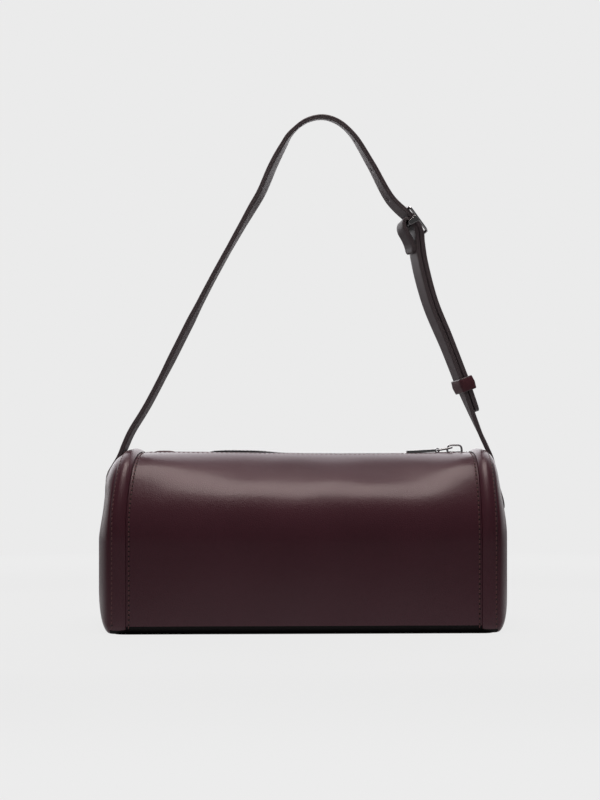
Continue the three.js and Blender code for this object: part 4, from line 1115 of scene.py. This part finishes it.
short_top = buckle_at - buckle_out * short_drop
short_lead = short_top + buckle_along * SHORT_LEAD
short_points = [short_top, short_lead, *(right_root + SHORT_LEG), *right_laid[::-1]]
short_line, short_run = smooth_line(short_points, 1.5 * MM)
short_out = directions(short_line)[1]
short_thick = FOLD_THICKNESS + (STRAP_THICKNESS - FOLD_THICKNESS) * ease(short_run, 0, FOLD_LENGTH)

tail = []
for share in (0.05, 0.1, 0.2, 0.4, 0.6, 0.8, 1):
    k = int(np.searchsorted(short_run, share * TAIL_LENGTH))
    tail.append(short_line[k] + short_out[k] * (short_thick[k] / 2 + STRAP_GAP + STRAP_THICKNESS / 2))
apex = (left_root + right_root) / 2 + APEX
long_points = [*left_laid, left_root, *(left_root + LEFT_LEG), apex]
long_points += [*(right_root + RIGHT_LEG), buckle_at, *tail]
long_line, long_run = smooth_line(long_points, 1.5 * MM)
long_ahead, long_out = directions(long_line)
long_width = np.minimum(rounded_end(long_run), rounded_end(long_run[-1] - long_run))
long_thick = np.where(long_line[:, 0] < 0, skived(-1, long_line[:, 1]), STRAP_THICKNESS)
long_part, long_across, long_facing = strap_part(long_line, long_out, long_out, long_thick, long_width)
long_strap = piece("strap_long", [long_part], strap_leather, strap_lining_painted_sheen, edge_paint_and_painted_light)

buckle_run = long_run[np.argmin(np.linalg.norm(long_line - buckle_at, axis=1))]
punch_turn = (np.arange(20) * 2 * np.pi / 20)[:, None]
plain_holes = [(way * n * HOLE_PITCH, 1.0) for n in (1, 2, 3) for way in (-1, 1)]
holes = []
for place, stretch in [(-PRONG_HOLE, PRONG_STRETCH), *plain_holes]:
    k = int(np.argmin(np.abs(long_run - buckle_run - place)))
    centre, ahead = upright(long_line)[k], upright(long_ahead)[k]
    ring = HOLE_RADIUS * (np.cos(punch_turn) * stretch * ahead + np.sin(punch_turn) * long_across[k])
    deep = np.array([-3, 3])[:, None, None] * MM * long_facing[k]
    holes.append(rows(centre + ring[None] + deep, ring_v=True, caps=True))
punch(long_strap, holes)
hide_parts("long_strap", "left_strap_end")
sew_strap(long_strap)

# The fold, from its sewn end up and loosely round the bar: along and out of the buckle.
FOLD_LINE = MM * np.array([
    [18.5, -14.3], [14, -12], [9, -10.7], [4, -10], [0, -9.3], [-3, -7.5], [-4, -5.2], [-2.4, -3.3],
])
fold_points = buckle_at + FOLD_LINE[:, :1] * buckle_along + FOLD_LINE[:, 1:] * buckle_out
fold_line, fold_run = smooth_line([*fold_points, short_line[2], short_line[4]], 1.2 * MM)
joined = int(np.argmin(np.linalg.norm(fold_line - short_line[2], axis=1)))
short_path = np.vstack([fold_line[:joined], short_line[2:]])
nearest = np.argmin(np.linalg.norm(fold_line[:joined, None] - short_line[None], axis=2), axis=1)
fold_thick = FOLD_THICKNESS + LOOP_FILL * (1 - ease(fold_run[:joined], 14 * MM, fold_run[joined]))
short_part = strap_part(
    short_path,
    directions(short_path)[1],
    np.vstack([short_out[nearest], short_out[2:]]),
    np.concatenate([fold_thick, short_thick[2:]]),
    np.concatenate([rounded_end(fold_run[:joined]), rounded_end(short_run[-1] - short_run[2:])]),
)[0]
short_strap = piece("strap_short", [short_part], strap_leather, strap_lining_painted_sheen, edge_paint_and_painted_light)
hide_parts("short_strap", "right_strap_end")

BUCKLE_TWIST = math.radians(12)
buckle_x = np.array([buckle_along[0], 0, buckle_along[1]])
buckle_y = np.array(joints["prong_hinge"]["axis"])
buckle_z = np.cross(buckle_x, buckle_y)
buckle_origin = np.array([buckle_at[0], bar_drop / 2 * math.sin(BUCKLE_TWIST), buckle_at[1]])
prong_pin = np.array(joints["prong_hinge"]["pos_m"])


def in_buckle(points, origin):
    """Points given along, across and out of the buckle, in space."""
    points = np.asarray(points, float)
    return origin + points[..., :1] * buckle_x + points[..., 1:2] * buckle_y + points[..., 2:] * buckle_z


# The slot in the fold that the prong comes up through.
PRONG_SLOT = ((-6.4, -2.0), (2.9, -2.0), (2.9, 2.0), (-6.4, 2.0))
slot_grid = MM * np.array([[(x, y, z) for x, y in PRONG_SLOT] for z in (-2.6, 3.9)])
punch(short_strap, [rows(in_buckle(slot_grid, prong_pin), ring_v=True, caps=True)])
sew_strap(short_strap)

SEWN_LOW = ANCHOR_FOOT + 3 * MM
SEWN_HIGH = 112 * MM
SEWN_SIDE = 6.4 * MM
STITCH_SUNK = 0.25 * MM
across_end = np.linspace(-5, 5, 11)[:, None] * [0, MM, 0]
parts = []
for line, out, hand in ((long_line, long_out, -1), (short_line, short_out, 1)):
    held = (line[:, 1] < SEWN_HIGH) & (line[:, 1] > SEWN_LOW) & (np.sign(line[:, 0]) == hand)
    facing = upright(out[held])
    top = upright(line[held]) + facing * (skived(hand, line[held, 1]) / 2)[:, None]
    order = np.argsort(top[:, 2])
    top, facing = top[order], facing[order]
    for way in (-1, 1):
        parts += stitch_row(top + [0, way * SEWN_SIDE, 0], facing, STITCH_SUNK)
    for end in (0, -1):
        faced = np.tile(facing[end], (len(across_end), 1))
        parts += stitch_row(top[end] + across_end, faced, STITCH_SUNK)
strap_stitches = piece("strap_end_stitches", parts, thread, hole_shade)
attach(strap_stitches, "body")

# Buckle: a flat nickel frame over the strap with an arm down each side to the bar under it, and a
# bent prong that turns on the bar, comes up through a hole and rests on the frame.
RAIL_WIDTH = 2.4 * MM
RAIL_HEIGHT = 1.5 * MM
BUCKLE_LENGTH = 23 * MM
BUCKLE_PLAY = 1.5 * MM
RAIL_FOOT = 0.3 * MM
RAIL_SHIFT = 1 * MM
rail_top = RAIL_FOOT + RAIL_HEIGHT
rail_x = BUCKLE_LENGTH / 2 - RAIL_WIDTH / 2
side_y = STRAP_WIDTH / 2 / math.cos(BUCKLE_TWIST) + BUCKLE_PLAY
rail_y = side_y + RAIL_WIDTH / 2


def flat_rail(path, width, height):
    """A closed flat rail with eased edges, lying in the buckle's own plane."""
    path = np.asarray(path, float)
    ahead = unit(np.roll(path, -1, axis=0) - np.roll(path, 1, axis=0))
    beside = np.column_stack([-ahead[:, 1], ahead[:, 0], np.zeros(len(path))])
    w, h = width / 2, height / 2
    upper = [(w - in_x * MM, h - in_z * MM) for in_x, in_z in ((0.45, 0), (0.13, 0.13), (0, 0.45))]
    section = np.array(upper + [(x, -z) for x, z in upper[::-1]])
    section = np.vstack([section, -section])
    return path[:, None] + section[:, :1] * beside[:, None] + section[:, 1:] * [0, 0, 1]


frame_loop = rounded_rectangle(rail_x, rail_y, 2.6 * MM, 7)
frame_loop += [RAIL_SHIFT, 0, (RAIL_FOOT + rail_top) / 2]
frame_rail = in_buckle(flat_rail(frame_loop, RAIL_WIDTH, RAIL_HEIGHT), buckle_origin)
buckle_parts = [rows(frame_rail, ring_u=True, ring_v=True)]
# One side of an arm, from the frame down round the bar: along and out of the buckle.
arm_side = MM * np.array([[2.6, 1], [1.5, -0.7], [0.8, -1.5]])
arm_side[:, 1] += [RAIL_FOOT, -bar_drop, -bar_drop]
arm_edge = upright(np.vstack([arm_side * [-1, 1], arm_side[::-1]]))
for way in (-1, 1):
    sides = [way * (side_y + 0.15 * MM), way * (side_y + RAIL_WIDTH - 0.15 * MM)]
    lug = np.stack([arm_edge + [0, y, 0] for y in sides])
    buckle_parts.append(rows(in_buckle(lug, buckle_origin), ring_v=True, caps=True, flip=way < 0))
bar_line = in_buckle([(0, y * rail_y, -bar_drop) for y in np.linspace(-1, 1, 9)], buckle_origin)
buckle_parts.append(wire(bar_line, buckle_z, BAR_RADIUS))
buckle = piece("buckle_nickel_frame", buckle_parts, nickel)
soften(buckle, 0.35 * MM)
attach(buckle, "strap")
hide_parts("buckle_frame")

PRONG_WIRE = 0.95 * MM
PRONG_EYE = 1.35 * MM
PRONG_COLLAR = 2.15 * MM
PRONG_BEND = MM * np.array([[-0.95, 1.75], [-1.5, 3.4], [-2.4, 5.2], [-3.4, 6.7], [-4.9, 7.7], [-7, 8.1]])
tip_out = rail_top + bar_drop + PRONG_WIRE + 0.25 * MM
prong_tip = [(-8.6 * MM, tip_out), (-10.4 * MM, tip_out), (-11.2 * MM, tip_out + 0.1 * MM)]
prong_line = upright(smooth_line([*PRONG_BEND, *prong_tip], 0.6 * MM)[0])
taper = np.interp(np.arange(len(prong_line)), [0, len(prong_line) - 4, len(prong_line) - 1], [1, 0.85, 0.45])
prong_eye = sleeve(PRONG_EYE, PRONG_COLLAR, 1.5 * MM, (0.2 * MM, 0.25 * MM), 20)
prong_parts = [
    wire(in_buckle(prong_line, prong_pin), buckle_y, PRONG_WIRE * taper),
    rows(in_buckle(prong_eye, prong_pin), ring_u=True, ring_v=True),
]
prong = piece("buckle_bent_prong", prong_parts, nickel)
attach(prong, "prong")
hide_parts("buckle_prong")

# Keeper: a burgundy leather loop with painted edges, their light tone partly painted light, joined at the
# back, that slides on the strap and holds the long part's end down.
KEEPER_LENGTH = 10 * MM
KEEPER_WALL = 1.1 * MM
KEEPER_PLAY = 0.8 * MM
KEEPER_CROWN = 0.6 * MM
KEEPER_SHIFT = 2.4 * MM
KEEPER_LIFT = 0.4 * MM
KEEPER_TWIST = math.radians(12)
keeper_tones = srgb(80, 40, 48), srgb(96, 50, 59)
keeper_leather = leather("keeper_leather", *keeper_tones, (0.44, 0.54), 1100.0, 0.04, 0.15)
keeper_along = np.array(joints["keeper_slide"]["axis"])
keeper_flat_out = np.array([-keeper_along[2], 0, keeper_along[0]])
keeper_across = math.cos(KEEPER_TWIST) * np.array([0, 1, 0]) - math.sin(KEEPER_TWIST) * keeper_flat_out
keeper_out = np.cross(keeper_along, keeper_across)
keeper_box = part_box("strap_keeper")
keeper_at = np.array((keeper_box[0] + keeper_box[1]) / 2)
keeper_at = keeper_at + KEEPER_SHIFT * keeper_along + KEEPER_LIFT * keeper_out
half_y = STRAP_WIDTH / 2 / math.cos(KEEPER_TWIST) + KEEPER_PLAY + KEEPER_WALL / 2
half_z = STRAP_THICKNESS + STRAP_GAP / 2 + KEEPER_PLAY + KEEPER_WALL / 2
corner_loop = rounded_rectangle(half_z, half_y, 2 * MM, 7)
loop = []
for a, b in zip(corner_loop, np.roll(corner_loop, -1, axis=0)):
    steps = 5 if np.linalg.norm(b - a) > 3 * MM else 1
    loop.append(np.linspace(a, b, steps, endpoint=False))
loop = np.vstack(loop)
ahead = unit(np.roll(loop, -1, axis=0) - np.roll(loop, 1, axis=0))
outside = np.column_stack([ahead[:, 1], -ahead[:, 0]])
h, t = KEEPER_LENGTH / 2, KEEPER_WALL / 2
upper = [(h - 0.6 * MM, t), (h - 0.15 * MM, 0.75 * t)]
strip = np.array([*upper, (h, 0), *((x, -z) for x, z in upper[::-1]), (0, -t)])
strip = np.vstack([strip, -strip])
strip[-1, 1] += KEEPER_CROWN
strip_tint = np.array(([1] * 4 + [0] * 2) * 2)[None]
grid = (
    keeper_at
    + (loop[:, None, :1] + outside[:, None, :1] * strip[None, :, 1:]) * keeper_out
    + (loop[:, None, 1:2] + outside[:, None, 1:] * strip[None, :, 1:]) * keeper_across
    + strip[None, :, :1] * keeper_along
)
keeper_mesh = rows(grid, ring_u=True, ring_v=True, tint=strip_tint)
keeper = piece("keeper_loop", [keeper_mesh], keeper_leather, edge_paint_and_painted_light)
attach(keeper, "keeper")
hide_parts("strap_keeper")

# Studio: a plain pale floor that runs into an even pale background, a soft lamp above, a white sheet
# behind and a weak fill in front. The camera stands level with the middle of the picture, a little to
# the left.
BACKGROUND = srgb(235, 235, 235)
FLOOR_NEAR = 0.2
FLOOR_FAR = 0.65
FLOOR_LIFT = 1.11
FLOOR_SHINE = 0.42
FLOOR_COVER = 0.86
FLOOR_MIRRORED = 0.72
FLOOR_SIDES = 64
BACKDROP_MOST = 0.85
BACKDROP_LEAST = 0.4
BACKDROP_FALL = 1.3
BACKDROP_TURN = 2.0
ROOM_LIGHT = 0.32
ROOM_MIRRORED_LESS = 0.2


def seen_directly(tree, mirrored):
    """1 for what the camera and glass see, mirrored's share for reflections, 0 for what lights the bag."""
    path = tree.nodes.new("ShaderNodeLightPath")
    seen = combine(tree, "MAXIMUM", path.outputs["Is Camera Ray"], path.outputs["Is Transmission Ray"])
    shine = combine(tree, "MULTIPLY", path.outputs["Is Glossy Ray"], mirrored)
    return combine(tree, "MAXIMUM", seen, shine), path.outputs["Is Glossy Ray"]


floor_finish, tree, shader = surface("studio_floor", {"Base Color": srgb(150, 150, 150), "Roughness": 0.9})
# Distance from the bag's foot, outside it.
from_foot = tree.nodes.new("ShaderNodeTexCoord").outputs["Object"]
for operation, value in (
    ("ABSOLUTE", None),
    ("SUBTRACT", (half_length, half_depth, 0)),
    ("MAXIMUM", (0, 0, 0)),
    ("LENGTH", None),
):
    step = tree.nodes.new("ShaderNodeVectorMath")
    step.operation = operation
    if value:
        step.inputs[1].default_value = value
    tree.links.new(from_foot, step.inputs[0])
    from_foot = step.outputs["Value" if operation == "LENGTH" else "Vector"]
far_off = tree.nodes.new("ShaderNodeMapRange")
far_off.interpolation_type = "SMOOTHSTEP"
far_off.inputs["From Min"].default_value = FLOOR_NEAR
far_off.inputs["From Max"].default_value = FLOOR_FAR
far_off.inputs["To Min"].default_value = FLOOR_COVER
tree.links.new(from_foot, far_off.inputs["Value"])
lift = tree.nodes.new("ShaderNodeEmission")
lift.inputs["Color"].default_value = BACKGROUND
spread(tree, from_foot, FLOOR_LIFT, 1.0, lift.inputs["Strength"], FLOOR_NEAR, FLOOR_FAR)
mixed = tree.nodes.new("ShaderNodeMixShader")
fading = combine(tree, "SUBTRACT", FLOOR_MIRRORED, combine(tree, "DIVIDE", from_foot, FLOOR_SHINE))
seen = seen_directly(tree, combine(tree, "MAXIMUM", fading, 0.0))[0]
tree.links.new(combine(tree, "MULTIPLY", seen, far_off.outputs["Result"]), mixed.inputs["Fac"])
tree.links.new(shader.outputs[0], mixed.inputs[1])
tree.links.new(lift.outputs[0], mixed.inputs[2])
tree.links.new(mixed.outputs[0], tree.nodes["Material Output"].inputs["Surface"])
turn = np.arange(FLOOR_SIDES) * 2 * np.pi / FLOOR_SIDES
floor_circle = np.column_stack([np.cos(turn), np.sin(turn), np.zeros(FLOOR_SIDES)])
floor_grid = np.array([0.02, 0.5, 1.0, 2.0, 4.0])[:, None, None] * floor_circle
floor_middle = (floor_grid[0], [list(range(FLOOR_SIDES))], [0])
floor = piece("studio_floor", [rows(floor_grid, ring_v=True), floor_middle], floor_finish)

world = bpy.data.worlds.new("studio")
bpy.context.scene.world = world
world.use_nodes = True
tree = world.node_tree
around = tree.nodes["Background"]
around.inputs["Color"].default_value = (0.5, 0.5, 0.5, 1)
backdrop = tree.nodes.new("ShaderNodeBackground")
backdrop.inputs["Color"].default_value = BACKGROUND
mixed = tree.nodes.new("ShaderNodeMixShader")
way = tree.nodes.new("ShaderNodeSeparateXYZ")
tree.links.new(tree.nodes.new("ShaderNodeTexCoord").outputs["Generated"], way.inputs[0])
falling = combine(tree, "MULTIPLY", way.outputs["Z"], BACKDROP_FALL)
level = combine(tree, "MAXIMUM", combine(tree, "SUBTRACT", BACKDROP_MOST, falling), BACKDROP_LEAST)
behind = combine(tree, "MAXIMUM", combine(tree, "MULTIPLY", way.outputs["Y"], BACKDROP_TURN), 0.0)
behind = combine(tree, "MINIMUM", behind, combine(tree, "MINIMUM", level, BACKDROP_MOST))
seen, glossy = seen_directly(tree, behind)
tree.links.new(seen, mixed.inputs["Fac"])
dimmed = combine(tree, "SUBTRACT", ROOM_LIGHT, combine(tree, "MULTIPLY", glossy, ROOM_MIRRORED_LESS))
tree.links.new(dimmed, around.inputs["Strength"])
tree.links.new(around.outputs[0], mixed.inputs[1])
tree.links.new(backdrop.outputs[0], mixed.inputs[2])
tree.links.new(mixed.outputs[0], tree.nodes["World Output"].inputs["Surface"])


def soft_lamp(name, place, aim, wide, deep, power, colour=(1, 1, 1)):
    lamp = bpy.data.lights.new(name, "AREA")
    lamp.shape = "RECTANGLE"
    lamp.size = wide
    lamp.size_y = deep
    lamp.energy = power
    lamp.color = colour
    stand = bpy.data.objects.new(name, lamp)
    stand.location = place
    stand.rotation_euler = (Vector(aim) - Vector(place)).to_track_quat("-Z", "Y").to_euler()
    bpy.context.scene.collection.objects.link(stand)
    return stand


soft_lamp("softbox_above", (0, -0.14, 1.15), (0, 0, 0.1), 0.6, 0.54, 4.9, (1, 0.93, 0.87))
soft_lamp("sheet_behind", (0, 1.3, 0.9), (0, 0, 0.15), 2.4, 1.6, 14, (0.98, 0.96, 1))
fill = soft_lamp("fill_in_front", (-0.4, -2.2, 1.5), (0, 0, 0.1), 2, 1.6, 6)
fill.visible_glossy = False

CAMERA_DISTANCE = 1.5
CAMERA_AZIMUTH = math.radians(-2)
CAMERA_AIM = Vector((-0.001, 0, 0.161))
CAMERA_LENS = 94
camera_data = bpy.data.cameras.new("camera")
camera_data.lens = CAMERA_LENS
camera_data.sensor_width = 36
camera = bpy.data.objects.new("camera", camera_data)
camera_side = Vector((math.sin(CAMERA_AZIMUTH), -math.cos(CAMERA_AZIMUTH), 0))
camera.location = CAMERA_AIM + CAMERA_DISTANCE * camera_side
camera.rotation_euler = (math.pi / 2, 0, CAMERA_AZIMUTH)
bpy.context.scene.collection.objects.link(camera)
bpy.context.scene.camera = camera
bpy.context.scene.view_settings.view_transform = "Standard"
